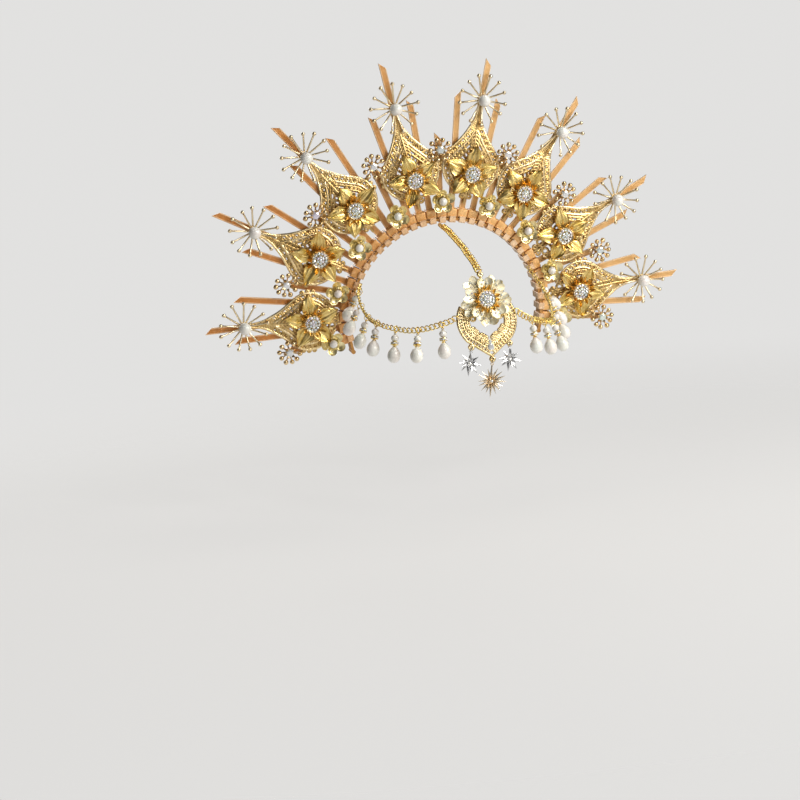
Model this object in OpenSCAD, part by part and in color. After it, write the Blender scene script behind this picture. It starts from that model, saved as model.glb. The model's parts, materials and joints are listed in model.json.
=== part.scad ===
// Halo crown: a headband set with radiating ties, domed gilt plates, flowers, wire sprays,
// sprigs and rosettes, with two swagged brow chains, pearl drops and a forehead pendant.
// Millimetres, +Z up, the front is -Y. The origin is the seat: the top of the band's inner face.
// In a spoke's own frame Z runs outward from the hub of the rays and X runs across the spoke.

/* [Headband] */
// Height of the seat above the hub of the rays
seat_h = 68; // [67:0.5:69]
// Radius of the band's inner face
band_r = 74; // [73:0.5:75]
// Thickness of the band
band_t = 2; // [1.6:0.2:2]
// Depth of the band from front to back
band_d = 9; // [8:0.5:9]
// Half of the band's arc, in degrees
band_half = 104; // [103:1:107]
// Forward lean of the halo, in degrees
halo_lean = 10; // [9:0.5:11]

/* [Ties] */
// Width of a tie's strap
strap_w = 4.8; // [4.4:0.1:5]
// Thickness of a tie's strap
strap_t = 1.2; // [1:0.1:1.3]
// Width of the groove between the strap's two rails
groove_w = 3; // [2.4:0.1:3.2]
// Depth of the groove
groove_d = 0.3; // [0.2:0.05:0.4]
// How far the cut tip slants
tip_slant = 5; // [3:0.5:6]
// Width of a tie's head, along the band
head_w = 7.2; // [6.8:0.1:7.4]
// Height of a tie's head, outward
head_h = 5.4; // [5:0.1:5.6]
// Depth of a tie's head, front to back
head_d = 6.6; // [6:0.2:7]
// Reach of a short tie from the hub
short_reach = 127; // [125:1:129]
// Reach of the middle short tie
short_reach_mid = 133; // [130:1:134]

/* [Plates] */
// Half of a plate's greatest width
plate_half = 21.6; // [20.5:0.1:21.8]
// Thickness of a plate
plate_t = 0.9; // [0.8:0.1:1]
// Radius of a plate's dome
dome_r = 115; // [112:1:120]
// How far the dome's middle stands before the band's middle plane
dome_front = 5.5; // [5.4:0.1:5.6]

/* [Flowers] */
// Length of a large petal from the flower's middle
petal_len = 18.5; // [17:0.5:19]
// Half width of a large petal
petal_half = 5.8; // [5:0.2:6]
// Radius of the paved middle
pave_r = 5.8; // [5.4:0.1:6]

/* [Sprays, sprigs and rosettes] */
// Number of wires in a spray
spray_wires = 13; // [11:1:13]
// Length of a spray's wire to the middle of its ball
spray_len = 17.5; // [16:0.5:18]
// Radius of a spray's pearl
spray_pearl_r = 4.5; // [4:0.1:4.6]
// Number of wires in a sprig
sprig_wires = 10; // [8:1:10]
// Length of a sprig's wire to the middle of its ball
sprig_len = 7.4; // [7:0.2:7.6]
// Radius of a rosette's petal
rosette_petal_r = 3.2; // [2.8:0.1:3.3]
// Radius of a rosette's pearl
rosette_pearl_r = 3; // [2.8:0.1:3.1]

/* [Chains and drops] */
// Diameter of a brow chain
brow_d = 3.2; // [2.8:0.1:3.2]
// Diameter of the parting chain
parting_d = 3.6; // [3.2:0.1:3.6]
// Radius of a drop's round bead
bead_r = 2.6; // [2.4:0.1:2.6]
// Radius of a drop's stone rondelle
rondelle_r = 3.1; // [2.9:0.1:3.3]
// Radius of a teardrop pearl
tear_r = 4.4; // [4:0.1:4.4]
// Length of a teardrop pearl
tear_len = 11.8; // [11:0.1:12]

/* [Pendant] */
// Radius of the pendant plate's round rim
pend_r = 21.5; // [21:0.5:22]
// Backward lean of the pendant's top, in degrees
pend_lean = 12; // [11:0.5:13]
// Reach of the pendant flower's petals
pend_petal = 16.5; // [15:0.5:17]

/* [Hidden] */
$fn = 48;
gap = 0.3;
band_drop = band_r - seat_h;
tie_step = 6.25;
unit_step = 4 * tie_step;
loop_t = 1.1;
strap_in = 1.5;
leaf_t = 0.8;
leaf_gap = 0.15;
leaf_root = 2.2;
strap_front = strap_t / 2;
front_seat = strap_front + gap;

// One row for each unit, as set by hand: turn of the plate, reach of the spray, reach of the
// flower, turn of the flower, then reach and tilt of the long, left and right ties
PLATE_TURN = 0; SPRAY_REACH = 1; FLOWER_REACH = 2; FLOWER_TURN = 3;
LONG_REACH = 4; LONG_TILT = 5; LEFT_REACH = 6; LEFT_TILT = 7; RIGHT_REACH = 8; RIGHT_TILT = 9;
units = [
    [-1.0, 154, 104,  12, 182, -3.0, 161,  2.6, 161,  0.0],
    [ 0.0, 160, 108,  -8, 192,  0.5, 162,  1.7, 161,  2.6],
    [-1.5, 160, 107,  10, 192, -3.2, 163,  2.2, 160,  0.7],
    [ 0.5, 157, 103, -10, 191,  0.8, 157,  0.8, 160, -1.9],
    [ 0.0, 158, 104,   0, 188,  0.5, 163, -0.4, 161, -2.5],
    [-0.8, 157, 104,   6, 186, -1.6, 162, -1.5, 163, -0.6],
    [ 0.0, 154, 105,   0, 185,  0.5, 158, -1.1, 160, -1.3],
    [ 0.0, 157, 105,  14, 188,  0.0, 160, -0.4, 162, -0.4],
];
unit_names = [1:8];

// One row for each short tie: tilt of the tie, reach of its sprig, reach of its rosette
SHORT_TILT = 0; SPRIG_REACH = 1; ROSETTE_REACH = 2;
shorts = [
    [ 4.0, 123, 90],
    [ 0.0, 125, 86],
    [ 1.0, 126, 85],
    [ 2.0, 124, 83],
    [ 0.0, 121, 83],
    [-1.0, 124, 84],
    [ 1.0, 124, 85],
    [-1.0, 127, 86],
    [-4.0, 125, 90],
];

// Half of a plate's outline: depth below the spray's middle, share of the greatest half width
plate_rows = [
    [20, 0.25], [25, 0.38], [30, 0.54], [35, 0.73], [40, 0.9], [45, 0.985], [50, 1],
    [55, 0.965], [60, 0.85], [64, 0.69], [67, 0.5], [69.5, 0.34],
];
foot_depth = 77;
foot_half = 0.1;
neck_rows = [[2.9, 0.06], [10, 0.09], [16, 0.16], [22, 0.3]];
dome_below = 49;

// Routes of the chains, end to end
brow_left_route = [
    [-65.5, 0, -43], [-68, -4, -46], [-70, -11, -50.5], [-71, -19, -55.5], [-71, -27, -59.5],
    [-70.5, -35, -63], [-70, -44, -65], [-68.5, -53, -66.5], [-64.5, -60, -69],
    [-58.5, -66.5, -71], [-52.5, -73, -72.5], [-46, -79, -72.5], [-39, -84.5, -71.5],
    [-31.5, -89, -69.5], [-26, -92, -68], [-22.5, -94, -66],
];
brow_right_route = [
    [22.5, -94, -66], [29, -91, -70.5], [36, -86.5, -73.5], [42.5, -80.5, -75.5], [49, -74, -77],
    [55, -66.5, -78], [60, -58.5, -78], [63.5, -50.5, -75.5], [66, -42.5, -72],
    [68, -34, -68], [69.5, -25.5, -64], [70.5, -17.5, -60], [70, -10.5, -55],
    [68, -4.5, -49], [65.5, 0, -43],
];
parting_route = [
    [0, -1, -4], [0, -9, -6], [0, -18, -8], [0, -27, -11], [0, -36, -14], [0, -45, -17],
    [0, -54, -20], [0, -62, -24], [0, -70, -27], [0, -78, -31], [0, -84, -35],
];

// One row for each drop: the point of its brow chain that it hangs from, and its outward lean
left_drops = [[1, 30], [3, 34], [5, 28], [7, 20], [9, 18], [11, 28], [13, 6]];
right_drops = [[2, 8], [4, 12], [6, 20], [8, 24], [10, 26], [12, 30]];

// One row for each star: middle of its lug, lean, rays, outer radius, fall below the lug
stars = [
    [[-14, 0, 8.6], 12,  8, 6.6, 11.5],
    [[  0, 0, -1.2], 9, 16, 9.6, 15.5],
    [[ 14, 0, 8.6],  5,  8, 6.6, 11.5],
];

pend_tip = [0, -100, -95.5];
pend_t = 1;
pend_ring_v = 26.6;
pend_flower_v = 39.9;
pend_top_v = 59;
lug_r = 1.7;
lug_hole = 0.9;

// Distance from the hub of the rays to the band's inner face, at an angle from the top
function seat_at(a) = -band_drop * cos(a) + sqrt(pow(band_r, 2) - pow(band_drop * sin(a), 2));
function head_top(a) = seat_at(a) + band_t + gap + loop_t / 2 + head_h;
function unit_angle(k) = (k - 4.5) * unit_step;
function short_angle(i) = (i - 4) * unit_step;
function mirrored(rows) = [for (i = [len(rows) - 1:-1:0]) [-rows[i][0], rows[i][1]]];
function unit_vec(v) = v / norm(v);

// Placing

module in_halo() rotate([halo_lean, 0, 0]) translate([0, 0, -seat_h]) children();
module spoke(a) in_halo() rotate([0, a, 0]) children();
module facing_front() rotate([90, 0, 0]) children();
module in_plate(k) spoke(unit_angle(k) + units[k - 1][PLATE_TURN]) children();
module in_flower(k) in_plate(k) translate([0, -dome_front - gap, units[k - 1][FLOWER_REACH]])
    rotate([0, units[k - 1][FLOWER_TURN], 0]) children();
module in_spray(k) in_plate(k) translate([0, -front_seat, units[k - 1][SPRAY_REACH]]) children();
module along_short(i, reach) {
    top = head_top(short_angle(i));
    spoke(short_angle(i)) translate([0, 0, top]) rotate([0, shorts[i][SHORT_TILT], 0])
        translate([0, -front_seat, reach - top]) rotate([0, -shorts[i][SHORT_TILT], 0]) children();
}
module in_pendant() translate(pend_tip) rotate([-pend_lean, 0, 0]) children();

// Headband: an open hoop of flat strip with a rolled end on each side

module headband() {
    sweep = 2 * band_half;
    roll_r = 1.6;
    color([0.72, 0.5, 0.26]) in_halo() translate([0, 0, -band_drop]) facing_front() {
        rotate([0, 0, 90 - band_half]) rotate_extrude(angle = sweep, $fn = 160)
            translate([band_r, -band_d / 2]) square([band_t, band_d]);
        for (side = [-1, 1]) rotate([0, 0, 90 + side * band_half])
            translate([band_r + band_t / 2, 0, 0]) cylinder(h = band_d, r = roll_r, center = true);
    }
}

// Ties: a loop round the band, the head outside it and the strap outward from the head

module strap(length, slant_side) {
    left = slant_side > 0 ? length : length - tip_slant;
    right = slant_side > 0 ? length - tip_slant : length;
    difference() {
        facing_front() linear_extrude(strap_t, center = true)
            polygon([[-strap_w / 2, 0], [strap_w / 2, 0], [strap_w / 2, right], [-strap_w / 2, left]]);
        translate([-groove_w / 2, -strap_t, 2]) cube([groove_w, strap_t / 2 + groove_d, length]);
    }
}

module tie(a, reach, tilt, slant_side) {
    base = seat_at(a);
    inner = base - gap - loop_t;
    outer = base + band_t + gap + loop_t;
    loop_d = band_d + 2 * (gap + loop_t);
    spoke(a) {
        difference() {
            translate([-strap_w / 2, -loop_d / 2, inner]) cube([strap_w, loop_d, outer - inner]);
            translate([-strap_w, -band_d / 2 - gap, base - gap])
                cube([2 * strap_w, band_d + 2 * gap, band_t + 2 * gap]);
        }
        translate([-head_w / 2, -head_d / 2, outer - loop_t / 2]) cube([head_w, head_d, head_h]);
        translate([0, 0, head_top(a)]) rotate([0, tilt, 0]) translate([0, 0, -strap_in])
            strap(reach - head_top(a) + strap_in, slant_side);
    }
}

module long_ties() color([0.78, 0.55, 0.28]) for (k = unit_names)
    tie(unit_angle(k), units[k - 1][LONG_REACH], units[k - 1][LONG_TILT], 1);

module side_ties() color([0.78, 0.52, 0.26]) for (k = unit_names) {
    tie(unit_angle(k) - tie_step, units[k - 1][LEFT_REACH], units[k - 1][LEFT_TILT], k < 5 ? 1 : -1);
    tie(unit_angle(k) + tie_step, units[k - 1][RIGHT_REACH], units[k - 1][RIGHT_TILT], 1);
}

module short_ties() color([0.75, 0.5, 0.25]) for (i = [0:8])
    tie(short_angle(i), i == 4 ? short_reach_mid : short_reach, shorts[i][SHORT_TILT], 1);

// Plates: a domed shield with a narrow neck up to the spray

// A plate's foot stops just above the head of the tie behind it
function foot_below(k) = min(foot_depth,
    units[k - 1][SPRAY_REACH] - head_top(unit_angle(k)) - gap);

module plate_outline(rows) {
    half = [for (r = rows) [r[1] * plate_half, -r[0]]];
    polygon(concat(half, mirrored(half)));
}

module filigree(k) color([0.83, 0.66, 0.27]) in_plate(k) translate([0, 0, units[k - 1][SPRAY_REACH]]) {
    intersection() {
        translate([0, -1, 0]) facing_front() linear_extrude(dome_front + 2)
            plate_outline(concat(plate_rows, [[foot_below(k), foot_half]]));
        translate([0, dome_r - dome_front, -dome_below]) facing_front() rotate_extrude($fn = 96)
            intersection() {
                difference() {
                    circle(r = dome_r, $fn = 360);
                    circle(r = dome_r - plate_t, $fn = 360);
                }
                translate([0, dome_r - 2 * dome_front]) square([dome_r / 3, 2 * dome_front + 1]);
            }
    }
    translate([0, -front_seat, 0]) facing_front() linear_extrude(1) plate_outline(neck_rows);
}

// Flowers: five broad pointed petals, five small inner ones and a cup for the paved middle

// Each petal keeps to its own share of the ring, so neighbours stay apart beyond the hub
module leaf(share, length, half) {
    bow = (pow(length / 2, 2) + pow(half, 2)) / (2 * half);
    near = leaf_root - leaf_gap / sin(share);
    far = length - leaf_gap / sin(share);
    facing_front() linear_extrude(leaf_t) intersection() {
        translate([half - bow, length / 2]) circle(r = bow, $fn = 96);
        translate([bow - half, length / 2]) circle(r = bow, $fn = 96);
        polygon([[-near * tan(share), leaf_root], [near * tan(share), leaf_root],
            [far * tan(share), length], [-far * tan(share), length]]);
    }
}

module leaf_ring(count, turn, root_y, tilt, length, half)
    for (i = [0:count - 1]) rotate([0, turn + i * 360 / count, 0]) translate([0, root_y, 0])
        rotate([tilt, 0, 0]) leaf(180 / count, length, half);

module flower(k) color([0.86, 0.68, 0.28]) in_flower(k) {
    leaf_ring(5, 0, -1.2, 7, petal_len, petal_half);
    leaf_ring(5, 36, -0.8, 24, 12.6, 2.7);
    facing_front() cylinder(h = 4.6, r = 4);
    translate([0, -3.4, 0]) facing_front() cylinder(h = 1.6, r = pave_r + 0.4);
}

module paved_dome(r, rise) {
    ball = (r * r + rise * rise) / (2 * rise);
    facing_front() intersection() {
        cylinder(h = rise + 0.8, r = r);
        translate([0, 0, 0.8 + rise - ball]) sphere(r = ball, $fn = 96);
    }
}

module flower_stones() color([0.85, 0.9, 0.95]) for (k = unit_names)
    in_flower(k) translate([0, -5 - gap, 0]) paved_dome(pave_r, 2.2);

// Sprays and sprigs: wires with ball ends round a hub that carries a cup

module wire_star(count, turn, root_y, root_r, length, wire_r, ball_r, tilt_low, tilt_high)
    for (i = [0:count - 1]) rotate([0, turn + i * 360 / count, 0]) translate([0, root_y, 0])
        rotate([i % 2 == 0 ? tilt_low : tilt_high, 0, 0]) {
            translate([0, 0, root_r]) cylinder(h = length - root_r, r = wire_r, $fn = 16);
            translate([0, 0, length]) sphere(r = ball_r, $fn = 24);
        }

module spray(k) color([0.8, 0.68, 0.4]) in_spray(k) {
    facing_front() cylinder(h = 3.9, r = 2.6);
    wire_star(spray_wires, 8, -2.6, 2.2, spray_len, 0.45, 1.1, 3, 7);
    translate([0, -3.6, 0]) facing_front() cylinder(h = 0.5, r = 2.9);
}

module spray_pearls() color([0.95, 0.93, 0.88]) for (k = unit_names)
    in_spray(k) translate([0, -4.3 - spray_pearl_r, 0]) sphere(r = spray_pearl_r);

module sprigs() color([0.75, 0.6, 0.38]) for (i = [0:8]) along_short(i, shorts[i][SPRIG_REACH]) {
    facing_front() cylinder(h = 4.3, r = 1.9);
    wire_star(sprig_wires, 18, -3.6, 1.6, sprig_len, 0.4, 1.4, 10, 14);
    translate([0, -4.2, 0]) facing_front() cylinder(h = 0.6, r = 2.8);
}

module sprig_stones() color([0.85, 0.88, 0.95]) for (i = [0:8])
    along_short(i, shorts[i][SPRIG_REACH]) translate([0, -4.8 - gap, 0]) paved_dome(2.6, 1.2);

// Rosettes: five round petals, a stamen disc and a pearl

module rosettes() color([0.85, 0.74, 0.42]) for (i = [0:8]) along_short(i, shorts[i][ROSETTE_REACH]) {
    facing_front() cylinder(h = 4.4, r = 2);
    for (p = [0:4]) rotate([0, p * 72, 0]) translate([0, -3, 0]) rotate([25, 0, 0]) {
        translate([0, 0, 6.3]) facing_front() cylinder(h = 0.7, r = rosette_petal_r);
        translate([-1.2, -0.7, 0]) cube([2.4, 0.7, 4.5]);
    }
    translate([0, -4.2, 0]) facing_front() cylinder(h = 0.4, r = 4.4);
}

module rosette_pearls() color([0.95, 0.93, 0.88]) for (i = [0:8])
    along_short(i, shorts[i][ROSETTE_REACH]) translate([0, -4.8 - rosette_pearl_r, 0])
        sphere(r = rosette_pearl_r);

// Chains: a tube swept along the route, with a flat end at each end

module chain_tube(route, d, sides = 8) {
    n = len(route);
    ahead = [for (i = [0:n - 1]) unit_vec(route[min(i + 1, n - 1)] - route[max(i - 1, 0)])];
    across = [for (t = ahead) unit_vec(cross(t, [0, 0, 1]))];
    points = [for (i = [0:n - 1]) for (s = [0:sides - 1])
        let (a = (s + 0.5) * 360 / sides, up = cross(across[i], ahead[i]))
            route[i] + d / 2 * (cos(a) * across[i] + sin(a) * up)];
    walls = [for (i = [0:n - 2]) for (s = [0:sides - 1]) for (half = [0, 1])
        let (a = i * sides + s, b = i * sides + (s + 1) % sides)
            half == 0 ? [a, b, b + sides] : [a, b + sides, a + sides]];
    first = [for (s = [sides - 1:-1:0]) s];
    last = [for (s = [0:sides - 1]) (n - 1) * sides + s];
    polyhedron(points, concat(walls, [first, last]), convexity = 6);
}

module brow_chain_left() color([0.8, 0.62, 0.22]) chain_tube(brow_left_route, brow_d);
module brow_chain_right() color([0.8, 0.62, 0.22]) chain_tube(brow_right_route, brow_d);
module parting_chain() color([0.8, 0.64, 0.24]) chain_tube(parting_route, parting_d);

// Drops: a ring round the chain, a pin with an eye, a round bead, a rondelle and a teardrop

ring_r = 2.5;
ring_fall = 0.4;
wire_r = 0.3;
eye_r = 0.8;
eye_wire_r = 0.25;
eye_fall = 0.1;
pin_r = 0.36;
bore_r = 0.6;
bead_z = -3.9;
rondelle_z = bead_z - bead_r - 0.15;
rondelle_h = 2.3;
tear_z = rondelle_z - rondelle_h - 0.15;
pin_in = 5;
drop_rows = concat([for (d = left_drops) [brow_left_route, d[0], d[1]]],
    [for (d = right_drops) [brow_right_route, d[0], d[1]]]);

function drop_at(row) = row[0][row[1]];
function drop_along(row) = unit_vec(row[0][row[1] + 1] - row[0][row[1] - 1]);
function drop_down(row) = let (p = drop_at(row), out = unit_vec([p[0], p[1], 0]))
    sin(row[2]) * out - cos(row[2]) * [0, 0, 1];
function across_chain(v, along) = unit_vec(v - (v * along) * along);

module point_to(v) rotate([0, acos(v[2]), atan2(v[1], v[0])]) children();
module below_chain(row, fall)
    translate(drop_at(row) + fall * across_chain(drop_down(row), drop_along(row))) children();
module at_hook(row) below_chain(row, ring_fall + ring_r) children();
module hang(row) at_hook(row) point_to(-drop_down(row)) children();

module torus(big_r, wire_r) rotate_extrude($fn = 36) translate([big_r, 0]) circle(r = wire_r, $fn = 16);

module tear() {
    rows = 14;
    side = [for (i = [0:rows]) let (s = i / rows)
        [max(tear_r * sin(180 * pow(s, 1.3)), i < rows / 2 ? 0.9 : 0), -tear_len * s]];
    difference() {
        rotate_extrude($fn = 40) polygon(concat([[0, 0]], side));
        translate([0, 0, -pin_in - 1]) cylinder(h = pin_in + 2, r = bore_r, $fn = 20);
    }
}

module drop_pearl(i) color([0.95, 0.93, 0.87]) hang(drop_rows[i - 1]) translate([0, 0, tear_z]) tear();

module drop_beads() color([0.95, 0.92, 0.86]) for (row = drop_rows) hang(row)
    translate([0, 0, bead_z]) difference() {
        sphere(r = bead_r);
        cylinder(h = 3 * bead_r, r = bore_r, center = true, $fn = 20);
    }

module drop_rondelles() color([0.88, 0.86, 0.78]) for (row = drop_rows) hang(row)
    translate([0, 0, rondelle_z - rondelle_h]) rotate_extrude($fn = 36)
        polygon([[bore_r, 0], [rondelle_r - 0.6, 0], [rondelle_r, 0.6],
            [rondelle_r, rondelle_h - 0.6], [rondelle_r - 0.6, rondelle_h], [bore_r, rondelle_h]]);

module drop_pins() color([0.8, 0.7, 0.45]) for (row = drop_rows) {
    along = drop_along(row);
    below_chain(row, ring_fall) point_to(along) torus(ring_r, wire_r);
    at_hook(row) translate(eye_fall * drop_down(row)) point_to(unit_vec(cross(along, drop_down(row))))
        torus(eye_r, eye_wire_r);
    hang(row) translate([0, 0, tear_z - pin_in])
        cylinder(h = pin_in - tear_z - eye_fall - eye_r, r = pin_r, $fn = 16);
}

// Pendant plate: a round rim that comes to a point, with ladder slots and a keyhole opening

module rim_slots() for (side = [-1, 1]) {
    for (i = [0:9]) translate([0, pend_ring_v]) rotate(90 - side * (76 + i * 6.8))
        translate([pend_r - 3.9, -0.55]) square([2.8, 1.1]);
    for (i = [0:5]) translate([side * (14.2 - i * 2.1), 14 - i * 1.7]) rotate(side * 36)
        translate([-0.55, -1]) square([1.1, 2.8]);
}

module pendant_plate() color([0.88, 0.78, 0.5]) in_pendant() {
    shoulder = 0.75 * pend_r;
    facing_front() linear_extrude(pend_t, center = true) difference() {
        union() {
            intersection() {
                translate([0, pend_ring_v]) circle(r = pend_r, $fn = 96);
                translate([-30, 0]) square([60, pend_flower_v - 2]);
            }
            polygon([[-shoulder, 12.4], [0, 0], [shoulder, 12.4]]);
            translate([0, pend_flower_v]) circle(r = 7);
            translate([-1, pend_flower_v]) square([2, pend_top_v - pend_flower_v - 1]);
            translate([0, pend_top_v]) circle(r = lug_r);
            for (s = stars) translate([s[0][0], s[0][2]]) circle(r = lug_r);
        }
        translate([0, pend_top_v]) circle(r = lug_hole);
        for (s = stars) translate([s[0][0], s[0][2]]) circle(r = lug_hole);
        translate([0, 20]) circle(r = 8);
        rim_slots();
    }
}

// Pendant flower: two layers of broad petals, narrow inner petals and a cup

module pendant_flower() color([0.9, 0.8, 0.5]) in_pendant() translate([0, -pend_t / 2 - gap, pend_flower_v]) {
    leaf_ring(5, 0, -2.4, 10, pend_petal, 4.6);
    leaf_ring(5, 36, -1, 4, pend_petal + 2, 4.6);
    leaf_ring(10, 18, -2.5, 28, 9.5, 1.6);
    facing_front() cylinder(h = 6, r = 4);
    translate([0, -5, 0]) facing_front() cylinder(h = 1.6, r = pave_r + 0.4);
}

module pendant_stones() color([0.85, 0.9, 0.95]) in_pendant() {
    translate([0, -pend_t / 2 - gap - 6.6 - gap, pend_flower_v]) paved_dome(pave_r, 2.2);
    for (s = [[11, 1.2, 0.5], [7.2, 2.6, 0.9]])
        translate([0, -pend_t / 2 - gap, s[0]]) paved_dome(s[1], s[2]);
}

// Star drops: a flat rayed star with a loop, on a ring through the plate's lug

module star_shape(rays, outer) polygon([for (i = [0:2 * rays - 1])
    let (r = i % 2 == 1 ? outer * 0.36 : i % 4 == 0 ? outer : outer * 0.8, a = 90 + i * 180 / rays)
        r * [cos(a), sin(a)]]);

module star(row) color([0.8, 0.8, 0.8]) in_pendant() translate(row[0]) {
    link_r = 1.7;
    loop_z = 0.1 - 2 * link_r;
    fall = row[4];
    rotate([pend_lean, row[1], 0]) {
        translate([0, 0, 0.4 - link_r]) rotate([0, 90, 0]) torus(link_r, 0.3);
        facing_front() linear_extrude(1.2, center = true) difference() {
            union() {
                translate([0, -fall]) star_shape(row[2], row[3]);
                translate([0, loop_z]) circle(r = 1.3);
                translate([-0.6, -fall]) square([1.2, fall + loop_z - 0.9]);
            }
            translate([0, loop_z]) circle(r = 0.75);
        }
    }
}

headband();
long_ties();
side_ties();
short_ties();
flower_stones();
spray_pearls();
sprigs();
sprig_stones();
rosettes();
rosette_pearls();
brow_chain_left();
brow_chain_right();
parting_chain();
drop_beads();
drop_rondelles();
drop_pins();
pendant_plate();
pendant_flower();
pendant_stones();
star(stars[0]);  // star_left
star(stars[1]);  // star_middle
star(stars[2]);  // star_right
for (k = unit_names) {
    filigree(k);
    flower(k);
    spray(k);
}
for (i = [1:13]) drop_pearl(i);
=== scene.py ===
"""Halo crown: the looks of every piece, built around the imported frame.

Lengths are in millimetres and angles in degrees until a piece is finished, when its mesh is
brought to metres. In a spoke's own frame Z runs outward, X across and -Y to the front. The
camera, the lights and the studio are placed in metres.
"""

import json
import math
import random
from collections import namedtuple

import bmesh
import bpy
from mathutils import Matrix, Vector

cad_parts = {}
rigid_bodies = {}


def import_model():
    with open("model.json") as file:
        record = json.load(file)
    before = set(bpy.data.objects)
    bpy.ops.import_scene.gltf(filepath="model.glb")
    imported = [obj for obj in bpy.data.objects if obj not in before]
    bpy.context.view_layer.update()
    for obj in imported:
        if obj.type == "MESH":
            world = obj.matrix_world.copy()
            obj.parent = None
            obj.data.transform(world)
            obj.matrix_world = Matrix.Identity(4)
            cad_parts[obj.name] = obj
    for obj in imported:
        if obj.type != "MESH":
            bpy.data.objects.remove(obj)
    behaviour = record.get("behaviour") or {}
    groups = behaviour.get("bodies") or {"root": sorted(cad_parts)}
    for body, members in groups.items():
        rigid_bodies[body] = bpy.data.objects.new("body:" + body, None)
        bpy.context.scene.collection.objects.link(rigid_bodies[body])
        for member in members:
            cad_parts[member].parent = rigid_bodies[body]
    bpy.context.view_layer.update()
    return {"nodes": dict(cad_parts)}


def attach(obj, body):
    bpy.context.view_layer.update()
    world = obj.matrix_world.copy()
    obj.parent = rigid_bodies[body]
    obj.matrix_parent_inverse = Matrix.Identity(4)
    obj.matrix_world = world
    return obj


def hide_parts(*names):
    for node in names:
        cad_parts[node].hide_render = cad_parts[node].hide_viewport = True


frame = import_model()
scene = bpy.context.scene

# Sizes that the frame was made with

# Lean of the whole halo, and height of the band's inner face over the spokes' centre
HALO_LEAN, SEAT_H = 10, 68
# The band's inner radius, thickness and depth, and how far its centre is below the spokes' centre
BAND_R, BAND_T, BAND_D, BAND_DROP = 74, 2, 9, 6
# Gap between solids, and thickness of a tie's loop
GAP, LOOP_T = 0.3, 1.1
# A strap's width and thickness, its start inside the head, and the slant of its cut tip
STRAP_W, STRAP_T, STRAP_IN, TIP_SLANT = 4.8, 1.2, 1.5, 5
# Height of a tie's head, and the angles between ties and between units
HEAD_H = 5.4
TIE_STEP, UNIT_STEP = 6.25, 25
# How far in front of a strap's middle a piece is seated on it
FRONT_SEAT = STRAP_T / 2 + GAP
# A plate's half width, its dome's radius, height and middle below the spray, and its foot's depth
PLATE_HALF, DOME_R, DOME_FRONT, DOME_BELOW, FOOT_DEPTH = 21.6, 115, 5.5, 49, 77
# Lowest point and lean of the pendant's plate, and height of the flower's middle on it
PEND_TIP, PEND_LEAN, PEND_FLOWER_V = (0, -100, -95.5), 12, 39.9

# Turn of the plate, reach of the spray, reach and turn of the flower, then reach and tilt of
# the long, left and right ties
Unit = namedtuple("Unit", "turn spray flower flower_turn long long_tilt left left_tilt right right_tilt")
UNITS = [Unit(*row) for row in (
    (-1.0, 154, 104, 12, 182, -3.0, 161, 2.6, 161, 0.0),
    (0.0, 160, 108, -8, 192, 0.5, 162, 1.7, 161, 2.6),
    (-1.5, 160, 107, 10, 192, -3.2, 163, 2.2, 160, 0.7),
    (0.5, 157, 103, -10, 191, 0.8, 157, 0.8, 160, -1.9),
    (0.0, 158, 104, 0, 188, 0.5, 163, -0.4, 161, -2.5),
    (-0.8, 157, 104, 6, 186, -1.6, 162, -1.5, 163, -0.6),
    (0.0, 154, 105, 0, 185, 0.5, 158, -1.1, 160, -1.3),
    (0.0, 157, 105, 14, 188, 0.0, 160, -0.4, 162, -0.4),
)]
EACH_UNIT = range(1, len(UNITS) + 1)
# Tilt of each short tie, reach of its sprig and of its rosette
Short = namedtuple("Short", "tilt sprig rosette")
SHORTS = [Short(*row) for row in (
    (4, 123, 90), (0, 125, 86), (1, 126, 85), (2, 124, 83), (0, 121, 83),
    (-1, 124, 84), (1, 124, 85), (-1, 127, 86), (-4, 125, 90),
)]
# Reach of the short ties, and of the one in the middle
SHORT_REACH, MIDDLE_REACH = 127, 133
# Routes of the chains: from the band's left end to the pendant, from the pendant to the band's
# right end, and from the top of the band's inner face to the pendant
BROW_LEFT = [
    (-65.5, 0, -43), (-68, -4, -46), (-70, -11, -50.5), (-71, -19, -55.5), (-71, -27, -59.5),
    (-70.5, -35, -63), (-70, -44, -65), (-68.5, -53, -66.5), (-64.5, -60, -69),
    (-58.5, -66.5, -71), (-52.5, -73, -72.5), (-46, -79, -72.5), (-39, -84.5, -71.5),
    (-31.5, -89, -69.5), (-26, -92, -68), (-22.5, -94, -66),
]
BROW_RIGHT = [
    (22.5, -94, -66), (29, -91, -70.5), (36, -86.5, -73.5), (42.5, -80.5, -75.5), (49, -74, -77),
    (55, -66.5, -78), (60, -58.5, -78), (63.5, -50.5, -75.5), (66, -42.5, -72),
    (68, -34, -68), (69.5, -25.5, -64), (70.5, -17.5, -60), (70, -10.5, -55),
    (68, -4.5, -49), (65.5, 0, -43),
]
PARTING = [
    (0, -1, -4), (0, -9, -6), (0, -18, -8), (0, -27, -11), (0, -36, -14), (0, -45, -17),
    (0, -54, -20), (0, -62, -24), (0, -70, -27), (0, -78, -31), (0, -84, -35),
]
# The point of its chain that each drop hangs from, and its outward lean
LEFT_DROPS = [(1, 30), (3, 34), (5, 28), (7, 20), (9, 18), (11, 28), (13, 6)]
RIGHT_DROPS = [(2, 8), (4, 12), (6, 20), (8, 24), (10, 26), (12, 30)]
# Place of each star's lug across and up, the star's lean, and its fall below the lug
STARS = {"star_left": (-14, 8.6, 12, 11.5), "star_middle": (0, -1.2, 9, 15.5),
         "star_right": (14, 8.6, 5, 11.5)}


# Placing

def turned(axis, angle):
    return Matrix.Rotation(math.radians(angle), 4, axis)


def moved(x, y, z):
    return Matrix.Translation((x, y, z))


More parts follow.
